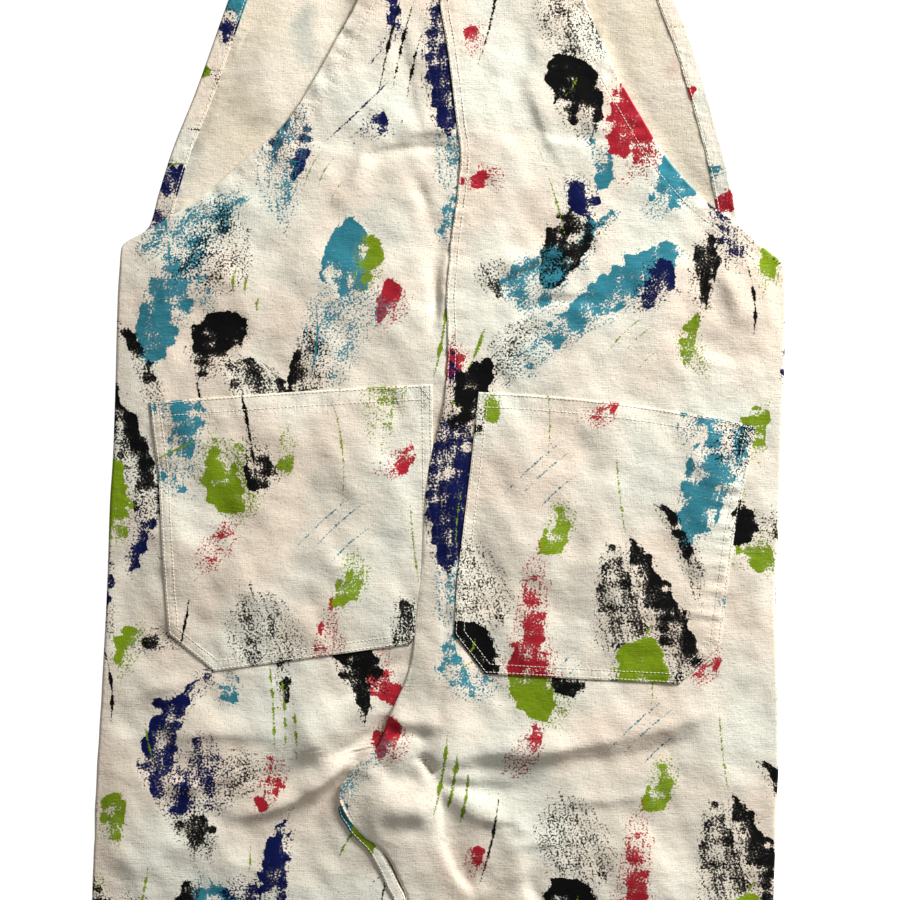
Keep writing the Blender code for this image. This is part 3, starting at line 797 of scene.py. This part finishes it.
def buttonMaterial():
    material, tree = newMaterial("turned resin button")  # horn-coloured polyester, satin
    place = addNode(tree, "TexCoord", out="Object")
    clouds = addNode(tree, "TexNoise", Vector=place, Scale=160.0, Detail=3.0, Distortion=1.2)
    clouds = addNode(tree, "MapRange", i0=clouds, i1=0.35, i2=0.68)
    tones = {"i6": (*linear("#D9CBAE"), 1), "i7": (*linear("#B9A27C"), 1)}
    colour = addNode(tree, "Mix", {"data_type": "RGBA"}, out=2, i0=clouds, **tones)
    turned = addNode(tree, "VectorMath", {"operation": "DIVIDE"}, i0=place, i1=(0.004, 0.0004, 0.001))
    scratches = addNode(tree, "TexNoise", Vector=turned, Scale=1.0, Detail=2.0)
    rough = addNode(tree, "MapRange", i0=scratches, i1=0.3, i2=0.7, i3=0.3, i4=0.46)
    surface = addNode(tree, "BsdfPrincipled", Base_Color=colour, Specular_IOR_Level=0.5, Roughness=rough)
    addNode(tree, "OutputMaterial", i0=surface)
    return material


outer = canvasMaterial("printed cotton canvas", False)  # plain weave, paint laid on top
inner = canvasMaterial("back of printed canvas", True)  # warmer, with the ink showing through faintly
thread = threadMaterial()
resin = buttonMaterial()
print("materials made")


cuts = {  # how each piece lies on the printed cloth: degrees turned, place of the pattern's zero
    "back_left": (0, 340, 260),
    "back_right": (0, 340, 600),
    "front_left": (180, 90, 140),
    "front_right": (180, 310, 20),
    "bib": (180, 40, 400),
    "pocket_left": (0, 80, 440),
    "pocket_right": (0, 420, 400),
    "hem": (90, 60, 480),
    "strap_left": (90, 150, 60),
    "strap_right": (90, 390, 510),
    "strip": (12, 330, 90),
}


def armholePath(side):  # line of the armhole's stitching
    y = np.linspace(armholeBottom + 3, backTop, 90)
    path = np.stack((curveAt(back, side + "Side", y), y), 1)
    run = unit(np.gradient(path, axis=0))
    return path + inward[side] * backSeams["arm"] * np.stack((run[:, 1], -run[:, 0]), 1)


def nearestSeam(x, y, seams):  # length along, distance to and strength of the nearest seam
    best = np.full(x.shape, 60.0)
    found = np.zeros((*x.shape, 3)) + (0, 60, 0)
    for path, strength in seams:
        steps = np.hypot(*np.diff(path, axis=0).T).sum()
        away, _, share = pathDistance(x, y, path)
        nearer = away < best
        best = np.where(nearer, away, best)
        found = np.where(nearer[..., None], np.stack((share * steps, away, away * 0 + strength), -1), found)
    return found


def gather(seam, seed, reach=9.0, height=0.28):  # short waves that run out from a seam
    along, away, strength = np.moveaxis(seam, -1, 0)
    waves = rumple(along, away * 0.35, seed, 7, 17, 10)
    return height * strength * waves * np.exp(-away / reach) * soft(away / 2.5 + 0.2)


seamRows = (-100, -60, -30, 0, 40, 90, 150, 200, 240, 280, 317, 350, 400, 460, 520, 580, backTop)
seamRows = np.array(seamRows, float)
centrePath = np.stack((curveAt(back, "rightInner", seamRows) + 3.5, seamRows), 1)
rowsUp = rowsThrough(  # denser where the folds are
    (legHem, legHem + 2, 0.5), (legHem + 2, -150, 8), (-150, -128, 4.4), (-128, 60, 2.35),
    (60, 440, 2.9), (440, 486, 2), (486, 646, 3), (646, 651, 1.2), (651, backTop, 0.5),
)


def makeBack(side):
    x, y = gridBetween(rowsUp, back, *halfEdges[side], 3.0)
    seams = [(armholePath(side), 1.0), (centrePath[9:], 1.0), (centrePath[:10], 0.35)]
    seams.append((np.array(((-300, legHem + 14), (300, legHem + 14)), float), 0.8))
    seam = nearestSeam(x, y, seams)
    inside = sideDistance(x, y)
    height = halfHeights[side](x, y) + gather(seam, 31 if side == "left" else 32) * soft(inside / 5)
    wavy = rumple(seam[..., 0], inside * 0.15, 61, 8, 17, 8) * bell(inside - 5.5, 5)  # on the armhole's hem
    height += 0.6 * wavy * soft((y - armholeBottom - 14) / 20) * soft((backTop - y) / 20)
    hem = 1 - soft((np.minimum(y - legHem, backTop - y) - backSeams["hem"]) / 2)
    arm = soft((y - armholeBottom + 8) / 12) * (1 - soft((inside - 11) / 2.5))
    thick = mix(canvas["cloth"], canvas["turned"], np.maximum(hem, arm))
    ends = roundEdge(np.minimum(y - legHem, backTop - y), 1.2)
    height -= 0.8 * (1 - ends)
    thick = thick * (0.45 + 0.55 * ends)
    return layCloth("backCloth_" + side, x, y, height, thick, (outer, inner), "back_" + side, seam)


pieces = {}
for side in ("left", "right"):
    pieces["back_" + side] = makeBack(side)
print("back halves laid")


pathColumns = "share x y"
pockets = {  # their two sides from the foot to the mouth, the mouth's bow and their own creases
    "left": {
        "leftPath": table(
            pathColumns,
            (0, -179, 58), (0.14, -215, 87), (0.3, -218, 122), (0.74, -223, 212), (1, -230, 267),
        ),
        "rightPath": table(pathColumns, (0, -27, 79), (0.14, -8, 108), (1, -10, 281)),
        "bow": 1.0,
        "crease": table(
            foldColumns,
            (-177, 88, -71, 124, -5, -0.7, 16, 5, 1.3),
            (-200, 150, -70, 118, 8, 0.7, 22, 16, 2),
            (-190, 215, -60, 236, -6, -0.5, 16, 18, 2),
            (-60, 240, -30, 150, 8, 0.7, 12, 16, 2),
        ),
    },
    "right": {
        "leftPath": table(
            pathColumns, (0, 31, 56), (0.15, 7, 87), (0.34, 9, 127), (0.76, 20, 219), (1, 26, 275)
        ),
        "rightPath": table(pathColumns, (0, 182, 48), (0.15, 214, 78), (0.56, 225, 164), (1, 242, 248)),
        "bow": 5.0,
        "crease": table(
            foldColumns,
            (60, 108, 168, 74, 5, -0.7, 16, 5, 1.3),
            (50, 150, 190, 130, -8, 0.7, 18, 16, 2),
            (60, 225, 180, 205, 6, -0.6, 18, 16, 2),
            (196, 200, 206, 110, -5, 0.7, 12, 12, 2),
        ),
    },
}
pocketSeams = {"hem": 12.5, "rows": (1.6, 7.8)}  # hem across the mouth, rows of stitching from the edge


def pocketSide(side, which, v):
    path = pockets[side][which]
    return np.interp(v, path["share"], path["x"]), np.interp(v, path["share"], path["y"])


def pocketPlace(side, u, v):  # u across and v up the pocket, from 0 to 1
    x0, y0 = pocketSide(side, "leftPath", v)
    x1, y1 = pocketSide(side, "rightPath", v)
    bow = pockets[side]["bow"] * 4 * u * (1 - u) * soft((v - 0.7) / 0.3)
    return mix(x0, x1, u), mix(y0, y1, u) + bow


def pocketSewn(side, inside=0.0):  # down one side, along the foot and up the other
    down = np.stack(pocketSide(side, "rightPath", pockets[side]["rightPath"]["share"][::-1]), 1)
    up = np.stack(pocketSide(side, "leftPath", pockets[side]["leftPath"]["share"]), 1)
    path = np.concatenate((down, up))
    if not inside:
        return path
    run = unit(np.diff(path, axis=0))
    square = np.stack((-run[:, 1], run[:, 0]), 1)  # to the left of the way, outwards
    both = np.concatenate((square[:1], square[:-1] + square[1:], square[-1:]))
    both /= np.sum(both * np.concatenate((square[:1], square)), axis=1, keepdims=True)
    return path - both * inside


def pocketMouth(side, below=0.0):
    u = np.linspace(0, 1, 25)
    x, y = pocketPlace(side, u, np.ones_like(u))
    return np.stack((x, y - below), 1)


def pocketHeight(side, x, y, withThick=False):
    under = backHeight(x, y, "left") if side == "left" else rightHeight(x, y)
    sewn, _, share = pathDistance(x, y, pocketSewn(side))
    mouth, _, _ = pathDistance(x, y, pocketMouth(side))
    turned = np.maximum(1 - soft((sewn - 8.5) / 5), 1 - soft((mouth - pocketSeams["hem"]) / 3))
    thick = mix(canvas["cloth"], 1.05, turned)
    edge = roundEdge(np.minimum(sewn, mouth), 0.8)
    height = under + 0.1 + thick * (0.5 + 0.5 * edge)
    inside = np.minimum(sewn, mouth + 14)
    height += 1.1 * soft((inside - 9) / 40)
    for away in (*(sewn - row for row in pocketSeams["rows"]), mouth - pocketSeams["hem"] + 1):
        height -= 0.16 * bell(away, 1.2)  # drawn in along the stitching
    pulled = rumple(share * 800, sewn * 0.3, 41, 9, 26, 10)
    height += 0.16 * pulled * np.exp(-sewn / 9) * soft((sewn - 1) / 5)
    if side == "right":  # tight thread down its outer side gathers the cloth into small ridges
        rng = np.random.default_rng(47)
        for down in np.arange(0.085, 0.29, 0.0165):
            reach, rise, wide, shift = rng.uniform((14, 0.5, 0.0046, -0.004), (38, 1.5, 0.0072, 0.004))
            ridge = bell(share - down - shift, wide) * soft((sewn - 0.5) / 4)
            height += rise * ridge * (1 - soft((sewn - reach * 0.25) / reach))
    own = creaseHeight(x, y, pockets[side]["crease"]) + 0.4 * rumple(x, y, 42, 26, 80)
    height += soft((inside - 6) / 18) * own
    return (height, thick * (0.5 + 0.5 * edge)) if withThick else height


def pocketSteps(length, count):  # from 0 to 1, denser at both ends
    steps = np.array((0, 0.12, 0.4, 0.85, 1.4, 2.2, 3.2, 4.4, 5.8, 7.2, 8.4, 9.8, 11.6))
    return np.concatenate((steps, np.linspace(14, length - 14, count), length - steps[::-1])) / length


def makePocket(side):
    u, v = np.meshgrid(pocketSteps(220, 66), pocketSteps(200, 76))
    x, y = pocketPlace(side, u, v)
    height, thick = pocketHeight(side, x, y, True)
    sewn, _, share = pathDistance(x, y, pocketSewn(side))
    seam = np.stack((share * 800, np.abs(sewn - 7), sewn * 0 + 1), -1)
    mouth, _, along = pathDistance(x, y, pocketMouth(side, pocketSeams["hem"] - 1))
    seam = np.where((mouth < sewn)[..., None], np.stack((along * 220, mouth, mouth * 0 + 1), -1), seam)
    return layCloth("pocketCloth_" + side, x, y, height, thick, (outer, inner), "pocket_" + side, seam)


for side in ("left", "right"):
    pieces["pocket_" + side] = makePocket(side)
print("pockets laid")


bib = table(
    "y left right",
    (waistHeight + 0.3, -256.5, 265),
    (345, -255, 266),
    (373, -253, 262),
    (388, -250, 245),
    (404, -230, 229),
    (428, -223, 224),
    (463, -212, 216.5),
    (508, -194, 204),
    (550, -179, 191),
    (581, -168, 179),
    (620, -153, 164),
    (682, -132, 143),
)
front = table(
    "y leftSide leftInner rightInner rightSide",
    (legHem, -298, -60, 34, 272),
    (-400, -287, -48, 12, 264),
    (-220, -279, -38, -18, 258),
    (-121, -275, -31, -29, 256),
    (0, -270, -15.3, -15, 260),
    (150, -262, -6.3, -6, 259),
    (waistHeight, -256.5, 1.7, 2, 265),
)
bibTop = 682.0
bibHem = {"width": 14.0, "row": 12.2, "cloth": 0.5}  # turned in, its stitching, its cloth pressed thin
straps = {"left": {"x": -106.0, "lean": 21.4}, "right": {"x": 120.0, "lean": -21.0}}
strap = {"width": 38.0, "length": 508.0, "end": 627.0, "shoulder": 868.0, "bend": 2.2, "row": 3.0}
button = {"diameter": 18.0, "height": 2.4, "y": 652.0, "hole": 1.8, "circle": 5.0}
buttonLift = button["height"] + canvas["gap"]


def overButtons(x, y, flat, ramp):  # 1 over the buttons, down to 0 round them
    bump = np.zeros_like(x)
    for one in straps.values():
        away = np.hypot(x - one["x"], y - button["y"])
        bump = np.maximum(bump, 1 - soft((away - flat) / ramp))
    return bump


def bibHeight(x, y):  # inner side of the bib, which lies over the buttoned ends of the straps
    overStrap = np.zeros_like(x)
    for one in straps.values():
        beside = 1 - soft((np.abs(x - one["x"]) - strap["width"] / 2 - 2) / 11)
        overStrap = np.maximum(overStrap, beside * soft((y - strap["end"] + 16) / 13))
    lift = layer * overStrap + (buttonLift + layer / 3) * overButtons(x, y, 19, 36)
    free = soft((y - 392) / 20) * soft((640 - y) / 30)
    bare = np.maximum(curveAt(back, "leftSide", y) - x, x - curveAt(back, "rightSide", y)) - 8
    tilt = 5 * (1 - np.exp(-np.maximum(bare, 0) * 0.03))  # rises outward beside the back
    return canvas["cloth"] + lift + free * (0.22 + tilt + 0.2 * rumple(x, y, 51, 26, 70))


def bibEdgeDistance(x, y):
    return np.minimum(pastEdge(bib, "left", x, y), -pastEdge(bib, "right", x, y))


def makeBib():
    rows = rowsThrough((waistHeight + 0.3, 390, 7), (390, 600, 3.6), (600, 680, 4), (680, bibTop, 0.7))
    x, y = gridBetween(rows, bib, "left", "right", 5.0)
    x -= (1 - soft((y - 376) / 14)) * 3.0 * np.sign(x) * soft((np.abs(x) - 200) / 40)
    edge = roundEdge(np.minimum(bibEdgeDistance(x, y), bibTop - y), 0.6)
    height = bibHeight(x, y) - 0.35 * (1 - edge)
    inEdges = [bib[side] + turn * bibHem["width"] for side, turn in inward.items()]
    seam = nearestSeam(x, y, [(np.stack((inEdge, bib["y"]), 1), 0.9) for inEdge in inEdges])
    thick = canvas["cloth"] * (0.5 + 0.5 * edge)
    return layCloth("bibCloth", x, y, height, thick, (inner, outer), "bib", seam, "below")


def hemHeight(x, y, away):  # away: distance in from the folded edge
    height = bibHeight(x, y) + bibHem["cloth"] + 0.2
    height -= 0.2 * bell(away - bibHem["row"], 0.9)
    inwards = roundEdge(bibHem["width"] - away, 0.8)
    return mix(1.0, height, roundEdge(away + 0.6, 1.6)) - 0.35 * (1 - inwards)


hemSteps = (-0.6, -0.5, -0.2, 0.3, 1.0, 2.2, 3.8, 5.6, 7.4, 9.2, 10.8, 11.8, 12.6, 13.3, 13.8, 14.0)
hemSteps = np.array(hemSteps)


def makeSideHem(side):
    rows = rowsThrough((398, bibTop - 0.6, 3), (bibTop - 0.6, bibTop, 0.3))
    away, y = np.meshgrid(hemSteps, rows)
    if side == "right":
        away = away[:, ::-1]
    x = besideEdge(bib, side, y, inward[side] * away)
    seam = np.stack((y * 1.06, np.abs(away - 12), y * 0 + 1), -1)
    height = hemHeight(x, y, away) + gather(seam, 52 if side == "left" else 53, 7, 0.22)
    return layCloth("bibHemCloth_" + side, x, y, height, bibHem["cloth"], (outer, inner), "hem", seam)


def makeTopHem():
    inset = bibHem["width"] + 0.5
    share, away = np.meshgrid(np.linspace(0, 1, 64), hemSteps[::-1])
    y = bibTop - away
    x = mix(curveAt(bib, "left", y) + inset, curveAt(bib, "right", y) - inset, share)
    height = hemHeight(x, np.minimum(y, bibTop), away)
    seam = np.stack((x, np.abs(away - 12), x * 0 + 1), -1)
    return layCloth("bibHemCloth_top", x, y, height, bibHem["cloth"], (outer, inner), "hem", seam)


def makeFront(side):
    start, end = (legHem, legHem + 1.2), (waistHeight - 1, waistHeight)
    rows = rowsThrough((*start, 0.4), (start[1], end[0], 10), (*end, 0.5))
    insets = (1.5, np.where(rows < -66, 2.2, 0.0))[:: inward[side]]
    x, y = gridBetween(rows, front, *halfEdges[side], 9.0, edgeSteps[[0, 2, 4, 6, 9]], insets)
    thick = mix(canvas["cloth"], 2.0, 1 - soft((y - legHem - backSeams["hem"]) / 3))
    ends = roundEdge(np.minimum(y - legHem, waistHeight - y), 0.6)
    height = thick * (0.6 + 0.4 * ends)
    name, cut = "frontCloth_" + side, "front_" + side
    return layCloth(name, x, y, height, thick, (inner, outer), cut, printed="below")


pieces["bib"] = makeBib()
for side in ("left", "right"):
    pieces["bib_hem_" + side] = makeSideHem(side)
    pieces["front_" + side] = makeFront(side)
pieces["bib_hem_top"] = makeTopHem()
print("bib, hems and fronts laid")


def strapUnder(y):  # height under the strap's way back: its own start, and the bib's top between
    return layer + 1.6 * soft((y - 628) / 28) * (1 - soft((y - 690) / 25))


def strapMiddle(across, along, one):  # middle of the strap's cloth
    tilt = math.radians(-one["lean"] / 2)
    reach = strap["shoulder"] - strap["end"]
    shear = math.tan(tilt) * soft(1 - (np.abs(along - reach) - 12) / 60)
    x = one["x"] + across
    y = strap["end"] + along - shear * across
    beyond = (x - one["x"]) * math.sin(tilt) + (y - strap["shoulder"]) * math.cos(tilt)
    bend = math.pi * strap["bend"]
    angle = np.clip(beyond / strap["bend"], 0, math.pi)
    folded = strap["bend"] * np.sin(angle) - np.maximum(beyond - bend, 0)
    move = np.where(beyond > 0, folded - beyond, 0)
    x = x + move * math.sin(tilt)
    y = y + move * math.cos(tilt)
    lower = buttonLift * overButtons(x, y, 16, 24)
    upper = mix(2 * strap["bend"], strapUnder(y), soft(np.maximum(beyond - bend, 0) / 45))
    turning = strap["bend"] * (1 - np.cos(angle))
    height = np.where(beyond <= 0, lower, np.where(beyond >= bend, upper, turning))
    return np.stack((x, y, canvas["cloth"] / 2 + height), -1)


def strapOuter(across, along, side):  # the side that faces up where the strap lies on its own start
    step = 0.5
    one = straps[side]
    middle = strapMiddle(across, along, one)
    runAlong = strapMiddle(across, along + step, one) - strapMiddle(across, along - step, one)
    runAcross = strapMiddle(across + step, along, one) - strapMiddle(across - step, along, one)
    inside = strap["width"] / 2 - np.abs(across)
    out = canvas["cloth"] / 2 * (0.4 + 0.6 * roundEdge(inside, 0.6))
    out -= 0.12 * bell(inside - strap["row"], 1.0)
    return middle + unit(np.cross(runAlong, runAcross)) * out[..., None]


def makeStrap(side):
    reach = strap["shoulder"] - strap["end"]
    before, after = reach - 8, reach + math.pi * strap["bend"] + 8
    parts = (0, before, 60), (before, after, 22), (after, strap["length"], 64)
    along = np.unique(np.concatenate([np.linspace(*part) for part in parts]).round(3))
    inside = np.array((0, 0.12, 0.35, 0.8, 1.5, 2.4, 3.2, 4.4, 7, 10, 13, 16, 19))
    across = strap["width"] / 2 - np.concatenate((inside, strap["width"] - inside[-2::-1]))
    across, along = np.meshgrid(across, along)
    inside = strap["width"] / 2 - np.abs(across)
    seam = np.stack((along, np.abs(inside - strap["row"]), along * 0 + 0.7), -1)
    thick = canvas["cloth"] * (0.4 + 0.6 * roundEdge(inside, 0.6))
    top = np.moveaxis(strapOuter(across, along, side), -1, 0)
    cut = "strap_" + side
    return layCloth("strapCloth_" + side, *top, thick, (outer,), cut, seam, spread=(across, along))


for side in ("left", "right"):
    pieces["strap_" + side] = makeStrap(side)
print("straps laid")


strip = table(  # felled inseam of the left leg, which is turned onto the back
    "y right",
    (legHem, -60.6),
    (-400, -48.6),
    (-220, -36.6),
    (-121, -30.2),
    (-106, -36.2),
    (-91, -43.2),
    (-79, -50),
    (-62, -65),
    (-46, -73.5),
    (-30, -72),
)
inseam = {"width": 9.4, "rows": (1.4, 8.0)}


def stripHeight(x, y, inside):
    edge = roundEdge(np.minimum(inside, inseam["width"] - inside), 0.8)
    height = leftHeight(x, y) + 0.35 + canvas["cloth"] * (0.4 + 0.6 * edge)
    for row in inseam["rows"]:
        height = height - 0.15 * bell(inside - row, 0.8)
    return height, edge


def makeStrip():
    rows = rowsThrough((legHem, legHem + 1, 0.5), (legHem + 1, -150, 9), (-150, -31, 2.6), (-31, -30, 0.5))
    across = np.array((0, 0.12, 0.35, 0.8, 1.5, 2.6, 4.0, 5.4, 6.8, 7.9, 8.6, 9.05, 9.28, 9.4))
    inside, y = np.meshgrid(inseam["width"] - across, rows)
    x = besideEdge(strip, "right", y, -inside)
    height, edge = stripHeight(x, y, inside)
    seam = np.stack((y * 1.2, np.abs(inside - inseam["rows"][0]), y * 0 + 0.6), -1)
    thick = canvas["cloth"] * (0.4 + 0.6 * edge)
    return layCloth("inseamFell_left", x, y, height, thick, (outer,), "strip", seam)


pieces["strip"] = makeStrip()


def onCloth(path, heightAt):  # a line on the cloth
    x, y = path.T
    return np.stack((x, y, heightAt(x, y)), 1), None


def sew(name, runs):  # each stitch a short thread, all of a seam in one mesh
    rng = np.random.default_rng(len(name) + len(runs))
    ringAt = np.array((-0.5, -0.34, 0.34, 0.5)) * canvas["stitch"]
    ringSize = np.array((0.35, 1.0, 1.0, 0.35)) * canvas["thread"]
    angles = np.arange(5) * 2 * math.pi / 5
    rings = zip(ringAt, ringSize)
    template = [(at, math.cos(a) * size, math.sin(a) * size) for at, size in rings for a in angles]
    corners = [[(k, 0), ((k + 1) % 5, 0), ((k + 1) % 5, 5), (k, 5)] for k in range(5)]
    sides = [[ring + k + up for k, up in face] for ring in (0, 5, 10) for face in corners]
    shape = sides + [[4, 3, 2, 1, 0], [15, 16, 17, 18, 19]]
    points, faces = [], []
    for path, normals in runs:
        steps = np.linalg.norm(np.diff(path, axis=0), axis=1)
        reached = np.concatenate(((0,), np.cumsum(steps)))
        places = np.arange(canvas["pitch"] / 2, reached[-1], canvas["pitch"])
        half = canvas["stitch"] / 2

        def along(at, values=path):
            return np.stack([np.interp(at, reached, column) for column in values.T], 1)

        run = unit(along(places + half) - along(places - half))
        up = np.zeros_like(run) + (0, 0, 1) if normals is None else along(places, normals)
        beside = unit(np.cross(up, run))
        up = np.cross(run, beside)
        middle = along(places) + up * 0.10 + beside * rng.normal(0, 0.07, (len(places), 1))
        for centre, axes in zip(middle, np.stack((run, beside, up), 1)):
            start = len(points) * 20
            points.append(centre + np.array(template) @ axes)
            faces += [[start + k for k in face] for face in shape]
    return addMesh(name, np.concatenate(points), faces, (thread,))


def lineAcross(rows, sides, y, inset):  # from side to side of a piece
    start, end = (float(curveAt(rows, name, np.array(y))) for name in sides)
    return np.stack((np.linspace(start + inset, end - inset, 400), np.full(400, y)), 1)


def lineBeside(rows, name, past, low, high, count=500):  # along an edge of a piece
    y = np.linspace(low, high, count)
    return np.stack((besideEdge(rows, name, y, past), y), 1)


def dense(path):  # the same line with 700 points evenly along it
    steps = np.concatenate(((0,), np.cumsum(np.hypot(*np.diff(path, axis=0).T))))
    at = np.linspace(0, steps[-1], 700)
    return np.stack([np.interp(at, steps, column) for column in path.T], 1)


def onStrap(side, across, start, end):
    along = np.linspace(start, end, 300)
    here = strapOuter(np.full_like(along, across), along, side)
    ahead = strapOuter(np.full_like(along, across), along + 0.5, side)
    beside = strapOuter(np.full_like(along, across + 0.5), along, side)
    return here, unit(np.cross(ahead - here, beside - here))


def pocketLines(side):
    lines = [dense(pocketSewn(side, inside)) for inside in pocketSeams["rows"]]
    lines += [dense(pocketMouth(side, below))[12:-12] for below in (1.5, pocketSeams["hem"] - 1)]
    for which, turn in (("leftPath", 1), ("rightPath", -1)):  # slanting tacks in the mouth's corners
        x, y = pocketSide(side, which, 1.0)
        ends = (x + turn * 2, y - pocketSeams["hem"] + 1), (x + turn * 8.5, y - 2.5)
        lines.append(dense(np.array(ends)))
    return lines


def hemTop(x, y):
    return hemHeight(x, y, np.full_like(x, bibHem["row"]))


def stripTop(inside):
    return lambda x, y: stripHeight(x, y, np.full_like(x, inside))[0]


lapLines = [lineBeside(back, "rightInner", row, 284, backTop - 2) for row in backSeams["fell"]]
sewn = {"centre": [onCloth(line, rightHeight) for line in lapLines]}
for side in ("left", "right"):
    hems = (legHem + backSeams["hem"], backTop - backSeams["hem"] + 1)
    lines = [armholePath(side), *(lineAcross(back, halfEdges[side], y, 3) for y in hems)]
    sewn["back_" + side] = [onCloth(line, halfHeights[side]) for line in lines]
    pocketTop = functools.partial(pocketHeight, side)
    sewn["pocket_" + side] = [onCloth(line, pocketTop) for line in pocketLines(side)]
    half = strap["width"] / 2 - strap["row"]
    sewn["strap_" + side] = [onStrap(side, across, 4, strap["length"] - 4) for across in (-half, half)]
    hemLine = lineBeside(bib, side, inward[side] * bibHem["row"], 400, bibTop - 2, 300)
    sewn["hem_" + side] = [onCloth(hemLine, hemTop)]
sewn["inseam"] = [
    onCloth(lineBeside(strip, "right", -row, legHem + 2, -34), stripTop(row)) for row in inseam["rows"]
]
topLine = lineAcross(bib, ("left", "right"), bibTop - bibHem["row"], bibHem["width"] + 2)
sewn["hem_top"] = [onCloth(topLine, hemTop)]
stitches = {name: sew("stitching_" + name, runs) for name, runs in sewn.items()}
print("seams sewn:", sum(len(one.data.polygons) for one in stitches.values()) // 17, "stitches")


def selectFaces(mesh, chosen):
    bpy.ops.mesh.select_all(action="DESELECT")
    bm = bmesh.from_edit_mesh(mesh)
    for face in bm.faces:
        if chosen(face):
            face.select_set(True)
    bmesh.update_edit_mesh(mesh)


def makeButton(side):  # face down under the bib, where the strap is fastened
    bpy.ops.object.select_all(action="DESELECT")
    x, y = (straps[side]["x"] + shift[0]) * mm, (button["y"] + shift[1]) * mm
    height = button["height"] * mm
    middle = (x, y, height / 2)
    bpy.ops.mesh.primitive_cylinder_add(
        vertices=48, radius=button["diameter"] / 2 * mm, depth=height, location=middle
    )
    piece = bpy.context.object
    piece.name = piece.data.name = "resinButton_" + side
    bpy.ops.object.transform_apply(location=True)
    bpy.ops.object.mode_set(mode="EDIT")
    bpy.ops.mesh.select_mode(type="FACE")
    selectFaces(piece.data, lambda face: abs(face.normal.z) > 0.9)
    bpy.ops.mesh.bevel(offset=0.45 * mm, segments=3, affect="EDGES")
    selectFaces(piece.data, lambda face: face.normal.z < -0.99 and face.calc_center_median().z < 0.01 * mm)
    bpy.ops.mesh.inset(thickness=1.9 * mm)  # raised rim round a shallow dish
    bpy.ops.mesh.inset(thickness=0.5 * mm, depth=-0.55 * mm)
    bpy.ops.object.mode_set(mode="OBJECT")
    drills = []
    reach = button["circle"] / 2 * mm
    for angle in np.radians((45, 135, 225, 315)):
        spot = (x + reach * math.cos(angle), y + reach * math.sin(angle), height / 2)
        bpy.ops.mesh.primitive_cylinder_add(
            vertices=16, radius=button["hole"] / 2 * mm, depth=3 * height, location=spot
        )
        drill = bpy.context.object
        drills.append(drill)
        hole = piece.modifiers.new("hole", "BOOLEAN")
        hole.operation, hole.object, hole.solver = "DIFFERENCE", drill, "EXACT"
        bpy.context.view_layer.objects.active = piece
        bpy.ops.object.modifier_apply(modifier=hole.name)
    for drill in drills:
        bpy.data.objects.remove(drill)
    piece.data.materials.clear()
    piece.data.materials.append(resin)
    bpy.ops.object.select_all(action="DESELECT")
    piece.select_set(True)
    bpy.context.view_layer.objects.active = piece
    bpy.ops.object.shade_smooth_by_angle(angle=math.radians(35))
    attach(piece, "root")
    return piece


for side in ("left", "right"):
    pieces["button_" + side] = makeButton(side)
print("buttons made")


for name, piece in pieces.items():
    if name != "strip":
        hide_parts(name)


view = {
    "centre": (3.9, 230.0),  # pattern millimetres
    "across": 702.0,  # what the picture's width covers
    "height": 1.9,
    "sky": 0.22,
    "lamp": 154.0,
    "lampPlace": (1.76, 2.1, 1.0),
    "floorGlow": 0.9,  # makes the floor white to the eye and leaves the shadow
}


def makeStage():
    bpy.ops.object.select_all(action="DESELECT")
    bpy.ops.mesh.primitive_plane_add(size=14, location=(0, 0, -0.0002))
    floor = bpy.context.object
    floor.name = "floor"
    material, tree = newMaterial("white paper sweep")  # matt seamless paper
    seen = addNode(tree, "LightPath", out="Is Camera Ray")
    glossy = addNode(tree, "LightPath", out="Is Glossy Ray")
    through = addNode(tree, "LightPath", out="Is Transmission Ray")
    for other in (glossy, through):
        seen = addNode(tree, "Math", {"operation": "MAXIMUM"}, i0=seen, i1=other)
    seen = addNode(tree, "Math", {"operation": "MULTIPLY"}, i0=seen, i1=view["floorGlow"])
    matt = addNode(tree, "BsdfDiffuse", Color=(*linear("#EDEDED"), 1))
    glow = addNode(tree, "Emission", Color=(1, 1, 1, 1), Strength=seen)
    addNode(tree, "OutputMaterial", i0=addNode(tree, "AddShader", i0=matt, i1=glow))
    floor.data.materials.append(material)
    world = bpy.data.worlds.new("soft studio")
    bpy.context.scene.world = world
    world.use_nodes = True
    tree = world.node_tree
    tree.nodes.clear()
    seen = addNode(tree, "LightPath", out="Is Camera Ray")
    strength = addNode(tree, "Mix", {"data_type": "FLOAT"}, i0=seen, i2=view["sky"], i3=1.0)
    addNode(tree, "OutputWorld", i0=addNode(tree, "Background", Color=(1, 1, 1, 1), Strength=strength))
    lamp = bpy.data.lights.new("softbox", "AREA")
    lamp.shape, lamp.size, lamp.size_y, lamp.energy = "RECTANGLE", 1.2, 0.7, view["lamp"]
    holder = bpy.data.objects.new("softbox", lamp)
    bpy.context.collection.objects.link(holder)
    holder.location = view["lampPlace"]
    aim = -holder.location.normalized()
    holder.rotation_euler = aim.to_track_quat("-Z", "Y").to_euler()
    camera = bpy.data.cameras.new("camera")
    camera.sensor_width = 36
    camera.lens = 36 * view["height"] / (view["across"] * mm)
    eye = bpy.data.objects.new("camera", camera)
    bpy.context.collection.objects.link(eye)
    eye.location = (*((np.array(view["centre"]) + shift[:2]) * mm), view["height"])
    bpy.context.scene.camera = eye
    bpy.context.scene.view_settings.view_transform = "Standard"


makeStage()
print("floor, light and camera set")
